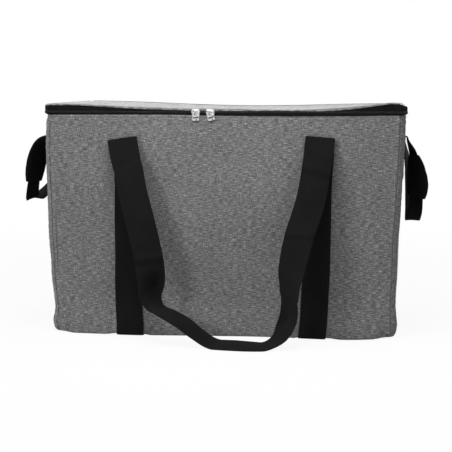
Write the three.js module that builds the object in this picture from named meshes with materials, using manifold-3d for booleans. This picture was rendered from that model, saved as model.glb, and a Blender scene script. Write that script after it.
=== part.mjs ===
// Soft-sided insulated cooler bag with a zip-round lid, two long webbing handles and two side grab handles.
// Millimetres. +X is the bag's right as seen from the front, -Y is the front, +Z is up.
// The origin is the middle of the base, on the surface that the bag stands on.

import * as THREE from 'three';
import { mergeVertices } from 'three/addons/utils/BufferGeometryUtils.js';
import Module from 'manifold-3d';

const wasm = await Module();
wasm.setup();

// Body, measured outside the fabric. It narrows by its tapers from the top edge to the base.
const TOP_WIDTH = 600;
const WIDTH_TAPER = 10;
const TOP_DEPTH = 350;
const DEPTH_TAPER = 4;
const PANEL_HEIGHT = 370;
const CORNER_RADIUS = 16;
const WAIST_WIDTH_LOSS = 4;
const WAIST_DEPTH_LOSS = 2;
const WAIST_HEIGHT = 50;
const WAIST_SPREAD = 45;
const FACE_CROWN = 7;
const SIDE_CROWN = 3;
const EDGE_ROLL = 8;
const WALL_FOOT = 2;
const SEAM_ANGLE = 25;

// Layers of the wall, from the outside in
const FABRIC = 1;
const FOAM = 8;
const LINER = 0.8;
const CLEARANCE = 0.3;

// Base
const BASE_PANEL = 3.6;
const BASE_PANEL_INSET = 4;
const BASE_FOAM = 8;

// Lid
const LID_EDGE_SAG = 4;
const LID_MIDDLE_SAG = 3;
const LID_FOAM = 7;
const LID_SKIRT = 2.4;
const LID_SKIRT_GAP = 0.35;
const LID_HINGE_LIP = 0.4;
const LID_INNER_INSET = 5;

// Zip
const ZIP_RISE = 5;
const COIL_HEIGHT = 1.5;
const COIL_DEPTH = 2.6;
const COIL_GAP = 1.5;
const TAPE = 0.8;
const RIM_HEIGHT = 4.2;
const RIM_DROP = 4;
const ZIP_END_ANGLE = 35;
const HINGE_TAPE_START = 6;

// Sliders and pulls
const SLIDER_X = [-45, -21];
const SLIDER_LENGTH = 14;
const SLIDER_NOSE = 10.8;
const SLIDER_TAIL = 8.4;
const SLIDER_OUTER_PLATE = 1.4;
const SLIDER_INNER_PLATE = 1.2;
const SLIDER_WEB = 0.9;
const SLIDER_WEB_LENGTH = 5;
const SLIDER_NOSE_LAND = 1;
const SLIDER_EDGE_SETBACK = 1.2;
const SLIDER_FLANGE = 1.1;
const SLIDER_FLANGE_LENGTH = 8.4;
const SLIDER_BEVEL = 0.25;
const BRIDGE_STAND = 2.2;
const BRIDGE_BAR_RADIUS = 0.7;
const BRIDGE_SPAN = 9.8;
const BRIDGE_LEG = 1.4;
const BRIDGE_RISE = 3;
const KNUCKLE_CLEARANCE = 0.2;
const KNUCKLE_WALL = 0.8;
const KNUCKLE_LENGTH = 6;
const PULL_LENGTH = 17;
const PULL_WIDTH = 12;
const PULL_NECK = 5.6;
const PULL_SHOULDER = 2.8;
const PULL_THICKNESS = 1.3;
const PULL_CORNER = 1.5;
const PULL_SLOT_WIDTH = 8;
const PULL_SLOT_HEIGHT = 1.8;
const PULL_SLOT_MARGIN = 2.6;

// Webbing of the two long handles
const WEBBING = 2;
const STRAP_WIDTH = 48;
const STRAP_SPACING = 320;
const FOLD_DROP = 40;
const FOLD_RADIUS = 1.2;

// Side grab handles
const GRAB_WIDTH = 25;
const GRAB_SPACING = 150;
const GRAB_ANCHOR = 70;
const SLEEVE_WIDTH = 45;
const SLEEVE_THICKNESS = 8;
const SLEEVE_SLOT_WIDTH = 27;
const SLEEVE_SLOT_HEIGHT = 3;
const RIGHT_GRAB_DROP = 147;
const LEFT_GRAB_DROP = 118;

// A slider plate's outline, as shares of half its length: where its tail rounds off, where it starts to
// flare, how far the flare reaches, and where its nose starts to round off
const PLATE_TAIL_END = 0.7;
const PLATE_FLARE_START = 0.1;
const PLATE_FLARE_REACH = 0.2;
const PLATE_NOSE_START = 0.5;
const PLATE_NOSE_ROUND = 0.9;

// Where the wall breaks above the floor: shares of the edge's roll, and shares of the panels' height
const ROLL_BREAKS = [0.5, 1.1];
const PANEL_BREAKS = [0.1, 0.22, 0.48];

// Where the lid breaks on the way from its middle to its edge
const LID_BREAKS = [0.35, 0.68, 0.9];

// Mesh resolution
const LONGEST_STEP = 110;
const SHORTEST_STEP = 1;
const PLACE_MARGIN = 1e-3;
const WELD = 1e-4;
const CORNER_STEPS = 4;
const FOLD_STEPS = 8;
const LOOP_STEPS = 54;
const GRAB_STEPS = 36;
const SLIDER_CURVE_STEPS = 4;
const BAR_SIDES = 12;
const KNUCKLE_SIDES = 16;

// Which steps of each grab handle its sleeve covers
const RIGHT_SLEEVE_STEPS = [4, 11];
const LEFT_SLEEVE_STEPS = [28, 35];

// The sleeve's section as shares of its half width and half thickness, in order round it
const SLEEVE_RING = [
  [1, -0.35], [1, 0.35], [0.85, 0.9], [0.45, 1], [-0.45, 1], [-0.85, 0.9],
  [-1, 0.35], [-1, -0.35], [-0.85, -0.9], [-0.45, -1], [0.45, -1], [0.85, -0.9],
];

// Layer depths, each measured inwards from the outer face of the fabric
const FOAM_OUT = FABRIC + CLEARANCE;
const FOAM_IN = FOAM_OUT + FOAM;
const LINER_OUT = FOAM_IN + CLEARANCE;
const LINER_IN = LINER_OUT + LINER;
const TAPE_OUT = FABRIC + CLEARANCE;
const TAPE_IN = TAPE_OUT + TAPE;
const COIL_OUT = (TAPE_OUT + TAPE_IN - COIL_DEPTH) / 2;
const COIL_IN = COIL_OUT + COIL_DEPTH;
const RIM_OUT = TAPE_IN + CLEARANCE;

// Heights. The zip stands above the panels' top edge, and the lid's height follows from the zip below it.
const ZIP_HEIGHT = PANEL_HEIGHT + ZIP_RISE;
const LOWER_COIL_TOP = ZIP_HEIGHT - COIL_GAP / 2;
const LOWER_COIL_BOTTOM = LOWER_COIL_TOP - COIL_HEIGHT;
const UPPER_COIL_BOTTOM = ZIP_HEIGHT + COIL_GAP / 2;
const UPPER_COIL_TOP = UPPER_COIL_BOTTOM + COIL_HEIGHT;
const LID_HEIGHT = UPPER_COIL_TOP + LID_SKIRT_GAP + LID_SKIRT + FABRIC + LID_EDGE_SAG;
const FOLD_HEIGHT = PANEL_HEIGHT - FOLD_DROP;
const RIM_TOP = PANEL_HEIGHT - RIM_DROP;
const RIM_BOTTOM = RIM_TOP - RIM_HEIGHT;
const FOAM_TOP = RIM_BOTTOM - CLEARANCE;
const BASE_FOAM_BOTTOM = BASE_PANEL + CLEARANCE;
const BASE_FOAM_TOP = BASE_FOAM_BOTTOM + BASE_FOAM;
const LINER_FLOOR = BASE_FOAM_TOP + CLEARANCE;
const BACK_PANEL_TOP = LID_HEIGHT - FABRIC - LID_HINGE_LIP - CLEARANCE;

// Materials, one colour and finish for each kind of stuff
const FINISH = {
  outerFabric: { color: 0x74767a, roughness: 0.95, metalness: 0 },
  foam: { color: 0xe6e6e2, roughness: 0.9, metalness: 0 },
  foil: { color: 0xc4c7ca, roughness: 0.3, metalness: 0.6 },
  webbing: { color: 0x1b1b1d, roughness: 0.85, metalness: 0 },
  zipTape: { color: 0x222224, roughness: 0.8, metalness: 0 },
  zipCoil: { color: 0x2b2928, roughness: 0.45, metalness: 0 },
  metal: { color: 0xd4d4d6, roughness: 0.22, metalness: 1 },
};

const bag = new THREE.Group();

function add(name, finish, geometry) {
  const mesh = new THREE.Mesh(geometry, new THREE.MeshStandardMaterial(FINISH[finish]));
  mesh.name = name;
  bag.add(mesh);
  return mesh;
}

// Closed meshes from points

function meshOf(points, faces) {
  const geometry = new THREE.BufferGeometry();
  geometry.setAttribute('position', new THREE.Float32BufferAttribute(points.flat(), 3));
  geometry.setIndex(faces.flat());
  geometry.computeVertexNormals();
  return geometry;
}

// A bent plate between two grids of points. Seen from outside, columns run to the right and rows run up.
function plate(outer, inner) {
  const columns = outer.length;
  const rows = outer[0].length;
  const points = [...outer.flat(), ...inner.flat()];
  const out = (i, j) => i * rows + j;
  const back = (i, j) => columns * rows + i * rows + j;
  const faces = [];
  const quad = (a, b, c, d) => faces.push([a, b, c], [a, c, d]);
  for (let i = 0; i < columns - 1; i += 1) {
    for (let j = 0; j < rows - 1; j += 1) {
      quad(out(i, j), out(i + 1, j), out(i + 1, j + 1), out(i, j + 1));
      quad(back(i, j), back(i, j + 1), back(i + 1, j + 1), back(i + 1, j));
    }
    quad(back(i, 0), back(i + 1, 0), out(i + 1, 0), out(i, 0));
    quad(out(i, rows - 1), out(i + 1, rows - 1), back(i + 1, rows - 1), back(i, rows - 1));
  }
  for (let j = 0; j < rows - 1; j += 1) {
    quad(back(0, j), out(0, j), out(0, j + 1), back(0, j + 1));
    quad(out(columns - 1, j), back(columns - 1, j), back(columns - 1, j + 1), out(columns - 1, j + 1));
  }
  return meshOf(points, faces);
}

// A body whose skin runs through rings of equal count. Its ends close on their middles, or on each other.
function skin(rings, endless) {
  const count = rings[0].length;
  const points = rings.flat();
  const faces = [];
  const at = (i, j) => (i % rings.length) * count + (j % count);
  const last = endless ? rings.length : rings.length - 1;
  for (let i = 0; i < last; i += 1) {
    for (let j = 0; j < count; j += 1) {
      faces.push([at(i, j), at(i, j + 1), at(i + 1, j + 1)], [at(i, j), at(i + 1, j + 1), at(i + 1, j)]);
    }
  }
  if (!endless) {
    points.push(middleOf(rings[0]), middleOf(rings[rings.length - 1]));
    const first = rings.length * count;
    for (let j = 0; j < count; j += 1) {
      faces.push([first, at(0, j + 1), at(0, j)]);
      faces.push([first + 1, at(rings.length - 1, j), at(rings.length - 1, j + 1)]);
    }
  }
  return meshOf(points, faces);
}

function middleOf(ring) {
  return [0, 1, 2].map((k) => ring.reduce((sum, point) => sum + point[k], 0) / ring.length);
}

// Solid joins and cuts

function solidOf(geometry) {
  const bare = geometry.clone();
  bare.deleteAttribute('normal');
  bare.deleteAttribute('uv');
  const merged = mergeVertices(bare, WELD);
  return new wasm.Manifold(new wasm.Mesh({
    numProp: 3,
    vertProperties: new Float32Array(merged.attributes.position.array),
    triVerts: new Uint32Array(merged.index.array),
  }));
}

function geometryOf(solid) {
  const mesh = solid.getMesh();
  const geometry = new THREE.BufferGeometry();
  geometry.setAttribute('position', new THREE.Float32BufferAttribute(mesh.vertProperties, 3));
  geometry.setIndex([...mesh.triVerts]);
  geometry.computeVertexNormals();
  return geometry;
}

function joined(geometries) {
  return geometryOf(geometries.map(solidOf).reduce((whole, solid) => whole.add(solid)));
}

function cut(geometry, tools) {
  return geometryOf(tools.map(solidOf).reduce((whole, tool) => whole.subtract(tool), solidOf(geometry)));
}

function box(low, high) {
  const size = low.map((value, k) => high[k] - value);
  const centre = low.map((value, k) => (high[k] + value) / 2);
  return new THREE.BoxGeometry(...size).translate(...centre);
}

// The wall of the bag: half sizes at a height, measured at the corners

function waistAt(z) {
  return Math.exp(-(((z - WAIST_HEIGHT) / WAIST_SPREAD) ** 2));
}

function rollAt(z) {
  const rise = Math.min(Math.max(z, WALL_FOOT), EDGE_ROLL);
  return EDGE_ROLL - Math.sqrt(EDGE_ROLL ** 2 - (EDGE_ROLL - rise) ** 2);
}

function crownAt(z) {
  const share = Math.min(Math.max(z / PANEL_HEIGHT, 0), 1);
  return 4 * share * (1 - share);
}

function halfWidthAt(z) {
  const share = Math.min(z / PANEL_HEIGHT, 1);
  const width = (TOP_WIDTH - WIDTH_TAPER * (1 - share)) / 2;
  return width - WAIST_WIDTH_LOSS * waistAt(z) - rollAt(z);
}

function halfDepthAt(z) {
  const share = Math.min(z / PANEL_HEIGHT, 1);
  const crown = FACE_CROWN * crownAt(z);
  const depth = (TOP_DEPTH - DEPTH_TAPER * (1 - share)) / 2;
  return depth - WAIST_DEPTH_LOSS * waistAt(z) - rollAt(z) - crown;
}

// The four sides in order, each with its own number, and its own along and outward axes
const SIDES = ['front', 'right', 'back', 'left'];
const [FRONT, RIGHT, BACK, LEFT] = SIDES.keys();
const ALONG = [[1, 0], [0, 1], [-1, 0], [0, -1]];
const OUTWARD = [[0, -1], [1, 0], [0, 1], [-1, 0]];

function sideSizes(side, z) {
  const isFace = side === FRONT || side === BACK;
  return {
    along: isFace ? halfWidthAt(z) : halfDepthAt(z),
    outward: isFace ? halfDepthAt(z) : halfWidthAt(z),
    crown: (isFace ? FACE_CROWN : SIDE_CROWN) * crownAt(z),
  };
}

function inPlan(side, along, outward, z) {
  const [ax, ay] = ALONG[side];
  const [ox, oy] = OUTWARD[side];
  return [ax * along + ox * outward, ay * along + oy * outward, z];
}

// A point on the flat part of a side, u along it from its middle, and a depth d in from the outer face
function onSide(side, u, z, d) {
  const size = sideSizes(side, z);
  const share = u / (size.along - CORNER_RADIUS);
  return inPlan(side, u, size.outward + size.crown * (1 - share ** 2) - d, z);
}

// A point on the corner after a side, at an angle in degrees from that side's outward axis
function onCorner(side, angle, z, d) {
  const size = sideSizes(side, z);
  const turn = THREE.MathUtils.degToRad(angle);
  const radius = CORNER_RADIUS - d;
  const along = size.along - CORNER_RADIUS + radius * Math.sin(turn);
  return inPlan(side, along, size.outward - CORNER_RADIUS + radius * Math.cos(turn), z);
}

// A place round the bag is a number: the side, plus its flat part's share along it, plus the rest of one
// round its corner
const FLAT_SHARE = 0.8;
const QUARTER_TURN = 90;

function sideOf(lap) {
  return ((lap % SIDES.length) + SIDES.length) % SIDES.length;
}

function onWall(place, z, d) {
  const side = sideOf(Math.floor(place));
  const share = place - Math.floor(place);
  if (share <= FLAT_SHARE) {
    const reach = sideSizes(side, z).along - CORNER_RADIUS;
    return onSide(side, (2 * share / FLAT_SHARE - 1) * reach, z, d);
  }
  return onCorner(side, QUARTER_TURN * (share - FLAT_SHARE) / (1 - FLAT_SHARE), z, d);
}

function cornerPlace(side, angle) {
  return side + FLAT_SHARE + (1 - FLAT_SHARE) * angle / QUARTER_TURN;
}

// The middles of the two strips of webbing on a side, and their width
function stripsOn(side) {
  const isFace = side === FRONT || side === BACK;
  const half = (isFace ? STRAP_SPACING : GRAB_SPACING) / 2;
  return { middles: [-half, half], width: isFace ? STRAP_WIDTH : GRAB_WIDTH };
}

// Shares of a side's flat part where the wall has a column: its ends, the edges of the strips, and between
function columnShares(side) {
  const reach = sideSizes(side, PANEL_HEIGHT).along - CORNER_RADIUS;
  const { middles, width } = stripsOn(side);
  const edges = middles.flatMap((middle) => [middle - width / 2, middle + width / 2]);
  const stops = [-reach, ...edges, reach];
  return stops.slice(0, -1).flatMap((stop, i) => {
    const run = stops[i + 1] - stop;
    const steps = Math.ceil(run / LONGEST_STEP);
    return Array.from({ length: steps }, (_, k) => (1 + (stop + run * k / steps) / reach) / 2);
  });
}

// All the places from one to another where the outline needs a point
function places(from, to) {
  const list = [from];
  for (let side = Math.floor(from); side <= Math.floor(to); side += 1) {
    for (const share of columnShares(sideOf(side))) {
      list.push(side + FLAT_SHARE * share);
    }
    for (let i = 0; i < CORNER_STEPS; i += 1) {
      list.push(cornerPlace(side, QUARTER_TURN * i / CORNER_STEPS));
    }
  }
  const isInside = (place) => place > from + PLACE_MARGIN && place < to - PLACE_MARGIN;
  return [...list.filter((place, i) => i === 0 || isInside(place)), to];
}

const ALL_ROUND = places(FRONT, FRONT + SIDES.length).slice(0, -1);

// A sheet on the wall between two places, two depths and any number of heights
function wallSheet(from, to, heightsAt, dOut, dIn) {
  const grid = (d) => places(from, to).map((place) => heightsAt(place).map((z) => onWall(place, z, d)));
  return plate(grid(dOut), grid(dIn));
}

// The middle of a strip that keeps its share of a side's width as the side narrows
function stripMiddle(side, middle, z) {
  const reach = (height) => sideSizes(side, height).along - CORNER_RADIUS;
  return middle * reach(z) / reach(PANEL_HEIGHT);
}

// A strip of webbing sewn flat up a side
function sewnStrip(side, middle, width, heights) {
  const grid = (d) => [-0.5, 0.5].map((edge) => heights.map((z) => (
    onSide(side, stripMiddle(side, middle, z) + edge * width, z, d))));
  return plate(grid(-CLEARANCE - WEBBING), grid(-CLEARANCE));
}

// Every layer of the wall breaks at the same heights, so that the layers stay parallel
const STRIP_TOP = FOLD_HEIGHT - CLEARANCE;
const ANCHOR_FOOT = FOLD_HEIGHT - GRAB_ANCHOR;
const WALL_HEIGHTS = [
  WALL_FOOT,
  ...ROLL_BREAKS.map((share) => EDGE_ROLL * share),
  ...PANEL_BREAKS.map((share) => PANEL_HEIGHT * share),
  ANCHOR_FOOT,
  STRIP_TOP,
  PANEL_HEIGHT,
];

function heightsBetween(low, high) {
  const isInside = (z) => z > low + SHORTEST_STEP && z < high - SHORTEST_STEP;
  return [low, ...WALL_HEIGHTS.filter(isInside), high];
}

// Outer panels. The side panels wrap the corners and meet the faces at seams a little way in.

const seamGapAngle = THREE.MathUtils.radToDeg(CLEARANCE / 2 / (CORNER_RADIUS - FABRIC));

function outerPanels() {
  const heights = WALL_HEIGHTS;
  const backHeights = [...heights, BACK_PANEL_TOP];
  const faceEdge = SEAM_ANGLE - seamGapAngle;
  const sideEdge = SEAM_ANGLE + seamGapAngle;
  const face = (side, list) => wallSheet(
    cornerPlace(side - 1, QUARTER_TURN - faceEdge), cornerPlace(side, faceEdge), () => list, 0, FABRIC);
  const flank = (side) => wallSheet(
    cornerPlace(side - 1, sideEdge), cornerPlace(side, QUARTER_TURN - sideEdge), () => heights, 0, FABRIC);
  add('front_panel', 'outerFabric', face(FRONT, heights));
  add('right_side_panel', 'outerFabric', flank(RIGHT));
  add('back_panel', 'outerFabric', face(BACK, backHeights));
  add('left_side_panel', 'outerFabric', flank(LEFT));
}

// Base panel, with a bed pressed into its underside for each strap that passes below

function outlineAt(z, d, height) {
  return ALL_ROUND.map((place) => {
    const [x, y] = onWall(place, z, d);
    return [x, y, height];
  });
}

function basePanel() {
  const inset = BASE_PANEL_INSET - rollAt(WALL_FOOT);
  const low = outlineAt(WALL_FOOT, inset, 0);
  const high = outlineAt(WALL_FOOT, inset, BASE_PANEL);
  const reach = TOP_DEPTH;
  const beds = stripsOn(FRONT).middles.map((x) => {
    const middle = stripMiddle(FRONT, x, 0);
    const half = STRAP_WIDTH / 2 + CLEARANCE;
    return box([middle - half, -reach, -BASE_PANEL], [middle + half, reach, WEBBING + CLEARANCE]);
  });
  return cut(skin([low, high], false), beds);
}

function base() {
  add('base_panel', 'outerFabric', basePanel());
  const edge = (height) => outlineAt(BASE_FOAM_BOTTOM, LINER_OUT, height);
  add('base_foam', 'foam', skin([edge(BASE_FOAM_BOTTOM), edge(BASE_FOAM_TOP)], false));
}

// Foam boards, one to a side, each bent round half of the corners at its ends

function foamBoards() {
  const heights = heightsBetween(BASE_FOAM_BOTTOM, FOAM_TOP);
  const mitre = THREE.MathUtils.radToDeg(CLEARANCE / 2 / (CORNER_RADIUS - FOAM_IN));
  SIDES.forEach((name, side) => {
    const from = cornerPlace(side - 1, QUARTER_TURN / 2 + mitre);
    const to = cornerPlace(side, QUARTER_TURN / 2 - mitre);
    add(`${name}_foam`, 'foam', wallSheet(from, to, () => heights, FOAM_OUT, FOAM_IN));
  });
}

// Foil liner, an open tub that stands on the base foam

function liner() {
  const outside = heightsBetween(LINER_FLOOR, FOAM_TOP);
  const inside = heightsBetween(LINER_FLOOR + LINER, FOAM_TOP).reverse();
  const rings = [
    ...outside.map((z) => outlineAt(z, LINER_OUT, z)),
    ...inside.map((z) => outlineAt(z, LINER_IN, z)),
  ];
  add('inner_liner', 'foil', skin(rings, false));
}

// Binding over the top edge of the foam and the liner, and the tape that backs the lid's fabric hinge

function rim() {
  const sections = ALL_ROUND.map((place) => [
    onWall(place, RIM_TOP, RIM_OUT),
    onWall(place, RIM_BOTTOM, RIM_OUT),
    onWall(place, RIM_BOTTOM, LINER_IN),
    onWall(place, RIM_TOP, LINER_IN),
  ]);
  add('rim_binding', 'zipTape', skin(sections, true));
  const from = cornerPlace(RIGHT, QUARTER_TURN - ZIP_END_ANGLE + HINGE_TAPE_START);
  const to = cornerPlace(BACK, ZIP_END_ANGLE - HINGE_TAPE_START);
  const heights = () => [RIM_BOTTOM, BACK_PANEL_TOP];
  add('lid_hinge_tape', 'zipTape', wallSheet(from, to, heights, TAPE_OUT, TAPE_IN));
}

// Lid: its height at a point of the plan, sagging along the front edge and in the middle

function lidTopAt(x, y) {
  const across = (x / halfWidthAt(PANEL_HEIGHT)) ** 2;
  const back = y / halfDepthAt(PANEL_HEIGHT);
  const edgeSag = LID_EDGE_SAG * (1 - across) * (1 - back) / 2;
  return LID_HEIGHT - edgeSag - LID_MIDDLE_SAG * (1 - across) * (1 - back ** 2);
}

function lidUnderAt(place) {
  const [x, y] = onWall(place, PANEL_HEIGHT, 0);
  return lidTopAt(x, y) - FABRIC;
}

const ZIP_END = cornerPlace(RIGHT, QUARTER_TURN - ZIP_END_ANGLE);

function isZipped(place) {
  return !(place > ZIP_END && place < cornerPlace(BACK, ZIP_END_ANGLE));
}

function lidRing(scale, d, drop) {
  return ALL_ROUND.map((place) => {
    const [x, y] = onWall(place, PANEL_HEIGHT, d).map((value) => value * scale);
    return [x, y, lidTopAt(x, y) - drop];
  });
}

function lidLayer(d, top, thickness) {
  const under = [...LID_BREAKS, 1].map((scale) => lidRing(scale, d, top + thickness));
  const over = [...LID_BREAKS, 1].reverse().map((scale) => lidRing(scale, d, top));
  return skin([...under, ...over], false);
}

function lidCover() {
  const skirtRing = (d) => ALL_ROUND.map((place) => {
    const [x, y] = onWall(place, PANEL_HEIGHT, d);
    return [x, y, lidUnderAt(place) - (isZipped(place) ? LID_SKIRT : LID_HINGE_LIP)];
  });
  return skin([
    ...LID_BREAKS.map((scale) => lidRing(scale, FABRIC, FABRIC)),
    lidRing(1, FABRIC, FABRIC),
    skirtRing(FABRIC),
    skirtRing(0),
    lidRing(1, 0, 0),
    ...[...LID_BREAKS].reverse().map((scale) => lidRing(scale, 0, 0)),
  ], false);
}

function lid() {
  const foamTop = FABRIC + CLEARANCE;
  const linerTop = foamTop + LID_FOAM + CLEARANCE;
  add('lid_cover', 'outerFabric', lidCover());
  add('lid_foam', 'foam', lidLayer(LID_INNER_INSET, foamTop, LID_FOAM));
  add('lid_liner', 'foil', lidLayer(LID_INNER_INSET, linerTop, LINER));
}

// Zip: a tape and a coil on the body, and a tape and a coil on the lid, from one back corner to the other

function zip() {
  const from = cornerPlace(BACK - SIDES.length, ZIP_END_ANGLE);
  const band = (low, high, dOut, dIn) => wallSheet(from, ZIP_END, (place) => [low, high(place)], dOut, dIn);
  const lowerTapeTop = () => LOWER_COIL_BOTTOM - CLEARANCE;
  const upperTapeTop = (place) => lidUnderAt(place) - CLEARANCE;
  add('body_zip_tape', 'zipTape', band(RIM_BOTTOM, lowerTapeTop, TAPE_OUT, TAPE_IN));
  add('body_zip_coil', 'zipCoil', band(LOWER_COIL_BOTTOM, () => LOWER_COIL_TOP, COIL_OUT, COIL_IN));
  add('lid_zip_coil', 'zipCoil', band(UPPER_COIL_BOTTOM, () => UPPER_COIL_TOP, COIL_OUT, COIL_IN));
  add('lid_zip_tape', 'zipTape', band(UPPER_COIL_TOP + CLEARANCE, upperTapeTop, TAPE_OUT, TAPE_IN));
}

// Zip sliders. Shapes are drawn in the plane of the front, x along the zip and y up from the zip's middle,
// and given a thickness between two stands out from the fabric.

function standing(shape, low, high, bevel) {
  const geometry = new THREE.ExtrudeGeometry(shape, {
    depth: high - low - 2 * bevel,
    bevelEnabled: bevel > 0,
    bevelThickness: bevel,
    bevelSize: bevel,
    bevelOffset: -bevel,
    bevelSegments: 1,
    curveSegments: SLIDER_CURVE_STEPS,
  });
  return geometry.translate(0, 0, low + bevel).rotateX(Math.PI / 2);
}

// A slider plate is widest at the nose, where the two coils part, and narrows to the tail
function sliderPlateShape(nose, tail, towards) {
  const half = towards * SLIDER_LENGTH / 2;
  const shape = new THREE.Shape();
  const tailEnd = -half * PLATE_TAIL_END;
  const flareStart = -half * PLATE_FLARE_START;
  const flare = half * PLATE_FLARE_REACH;
  const noseStart = half * PLATE_NOSE_START;
  const noseRound = half * PLATE_NOSE_ROUND;
  shape.moveTo(-half, -tail / 4);
  shape.quadraticCurveTo(-half, -tail / 2, tailEnd, -tail / 2);
  shape.lineTo(flareStart, -tail / 2);
  shape.bezierCurveTo(flare, -tail / 2, flare, -nose / 2, noseStart, -nose / 2);
  shape.quadraticCurveTo(noseRound, -nose / 2, half, 0);
  shape.quadraticCurveTo(noseRound, nose / 2, noseStart, nose / 2);
  shape.bezierCurveTo(flare, nose / 2, flare, tail / 2, flareStart, tail / 2);
  shape.lineTo(tailEnd, tail / 2);
  shape.quadraticCurveTo(-half, tail / 2, -half, tail / 4);
  return shape;
}

// The web between the plates is a slim diamond just inside the nose
function sliderWebShape(towards) {
  const tip = SLIDER_LENGTH / 2 - SLIDER_NOSE_LAND;
  const middle = tip - SLIDER_WEB_LENGTH / 2;
  const shape = new THREE.Shape();
  shape.moveTo(towards * tip, 0);
  shape.lineTo(towards * middle, SLIDER_WEB / 2);
  shape.lineTo(towards * (tip - SLIDER_WEB_LENGTH), 0);
  shape.lineTo(towards * middle, -SLIDER_WEB / 2);
  return shape;
}

const OUTER_PLATE_LOW = CLEARANCE;
const OUTER_PLATE_HIGH = OUTER_PLATE_LOW + SLIDER_OUTER_PLATE;
const INNER_PLATE_HIGH = -(COIL_IN + CLEARANCE);
const INNER_PLATE_LOW = INNER_PLATE_HIGH - SLIDER_INNER_PLATE;
const BRIDGE_BAR_STAND = OUTER_PLATE_HIGH + BRIDGE_STAND;

function sliderBody(towards) {
  const plateShape = sliderPlateShape(SLIDER_NOSE, SLIDER_TAIL, towards);
  const setback = SLIDER_EDGE_SETBACK;
  const innerShape = sliderPlateShape(SLIDER_NOSE - setback, SLIDER_TAIL - setback, towards);
  const sunk = SLIDER_INNER_PLATE / 2;
  const parts = [
    standing(plateShape, OUTER_PLATE_LOW, OUTER_PLATE_HIGH, SLIDER_BEVEL),
    standing(innerShape, INNER_PLATE_LOW, INNER_PLATE_HIGH, 0),
    standing(sliderWebShape(towards), INNER_PLATE_HIGH - sunk, OUTER_PLATE_LOW + sunk, 0),
  ];
  const flangeLow = PANEL_HEIGHT + CLEARANCE - ZIP_HEIGHT;
  const flangeHigh = LOWER_COIL_BOTTOM - CLEARANCE - ZIP_HEIGHT;
  const flangeHalf = SLIDER_FLANGE_LENGTH / 2;
  const flange = (low, high) => box([-flangeHalf, -high, flangeLow], [flangeHalf, -low, flangeHigh]);
  parts.push(flange(OUTER_PLATE_LOW - SLIDER_FLANGE, OUTER_PLATE_LOW + sunk));
  parts.push(flange(INNER_PLATE_HIGH - sunk, -(TAPE_IN + CLEARANCE)));
  const bar = new THREE.CylinderGeometry(BRIDGE_BAR_RADIUS, BRIDGE_BAR_RADIUS, BRIDGE_SPAN, BAR_SIDES);
  parts.push(bar.rotateZ(Math.PI / 2).translate(0, -BRIDGE_BAR_STAND, BRIDGE_RISE));
  for (const end of [-1, 1]) {
    const inner = end * (BRIDGE_SPAN / 2 - BRIDGE_LEG);
    const outer = end * BRIDGE_SPAN / 2;
    const low = [Math.min(inner, outer), -BRIDGE_BAR_STAND, BRIDGE_RISE - BRIDGE_LEG / 2];
    const high = [Math.max(inner, outer), -OUTER_PLATE_HIGH + sunk, BRIDGE_RISE + BRIDGE_LEG / 2];
    parts.push(box(low, high));
  }
  return joined(parts);
}

// A pull hangs by a rolled knuckle on the slider's bridge, and has a slot near its free end
function pullShape() {
  const top = -(BRIDGE_BAR_RADIUS + KNUCKLE_CLEARANCE + KNUCKLE_WALL / 2);
  const half = PULL_WIDTH / 2;
  const neck = PULL_NECK / 2;
  const round = PULL_CORNER;
  const shape = new THREE.Shape();
  shape.moveTo(neck, top);
  shape.lineTo(neck, -PULL_SHOULDER);
  shape.quadraticCurveTo(half, -PULL_SHOULDER, half, -PULL_SHOULDER - round);
  shape.lineTo(half, -PULL_LENGTH + round);
  shape.quadraticCurveTo(half, -PULL_LENGTH, half - round, -PULL_LENGTH);
  shape.lineTo(-half + round, -PULL_LENGTH);
  shape.quadraticCurveTo(-half, -PULL_LENGTH, -half, -PULL_LENGTH + round);
  shape.lineTo(-half, -PULL_SHOULDER - round);
  shape.quadraticCurveTo(-half, -PULL_SHOULDER, -neck, -PULL_SHOULDER);
  shape.lineTo(-neck, top);
  const slot = new THREE.Path();
  const slotRadius = PULL_SLOT_HEIGHT / 2;
  const slotMiddle = -PULL_LENGTH + PULL_SLOT_MARGIN + slotRadius;
  const slotReach = PULL_SLOT_WIDTH / 2 - slotRadius;
  slot.absarc(slotReach, slotMiddle, slotRadius, -Math.PI / 2, Math.PI / 2, false);
  slot.absarc(-slotReach, slotMiddle, slotRadius, Math.PI / 2, 3 * Math.PI / 2, false);
  shape.holes.push(slot);
  return shape;
}

function pullBody() {
  const blade = standing(pullShape(), -PULL_THICKNESS / 2, PULL_THICKNESS / 2, SLIDER_BEVEL);
  const bore = BRIDGE_BAR_RADIUS + KNUCKLE_CLEARANCE;
  const outside = bore + KNUCKLE_WALL;
  const rod = (radius, length) => (
    new THREE.CylinderGeometry(radius, radius, length, KNUCKLE_SIDES).rotateZ(Math.PI / 2));
  const knuckle = rod(outside, KNUCKLE_LENGTH);
  return cut(joined([blade, knuckle]), [rod(bore, KNUCKLE_LENGTH * 2)]);
}

function sliders() {
  const face = onSide(FRONT, 0, PANEL_HEIGHT, 0)[1];
  const names = ['left', 'right'];
  names.forEach((name, i) => {
    const towards = i === 0 ? 1 : -1;
    const slider = add(`${name}_slider`, 'metal', sliderBody(towards));
    slider.position.set(SLIDER_X[i], face, ZIP_HEIGHT);
    const pull = add(`${name}_pull`, 'metal', pullBody());
    pull.position.set(SLIDER_X[i], face - BRIDGE_BAR_STAND, ZIP_HEIGHT + BRIDGE_RISE);
  });
}

// Webbing. Each handle is drawn as if on the front, and turned about the bag's middle to its own side.

function turned(geometry, side) {
  return geometry.rotateZ(side * Math.PI / 2);
}

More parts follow.
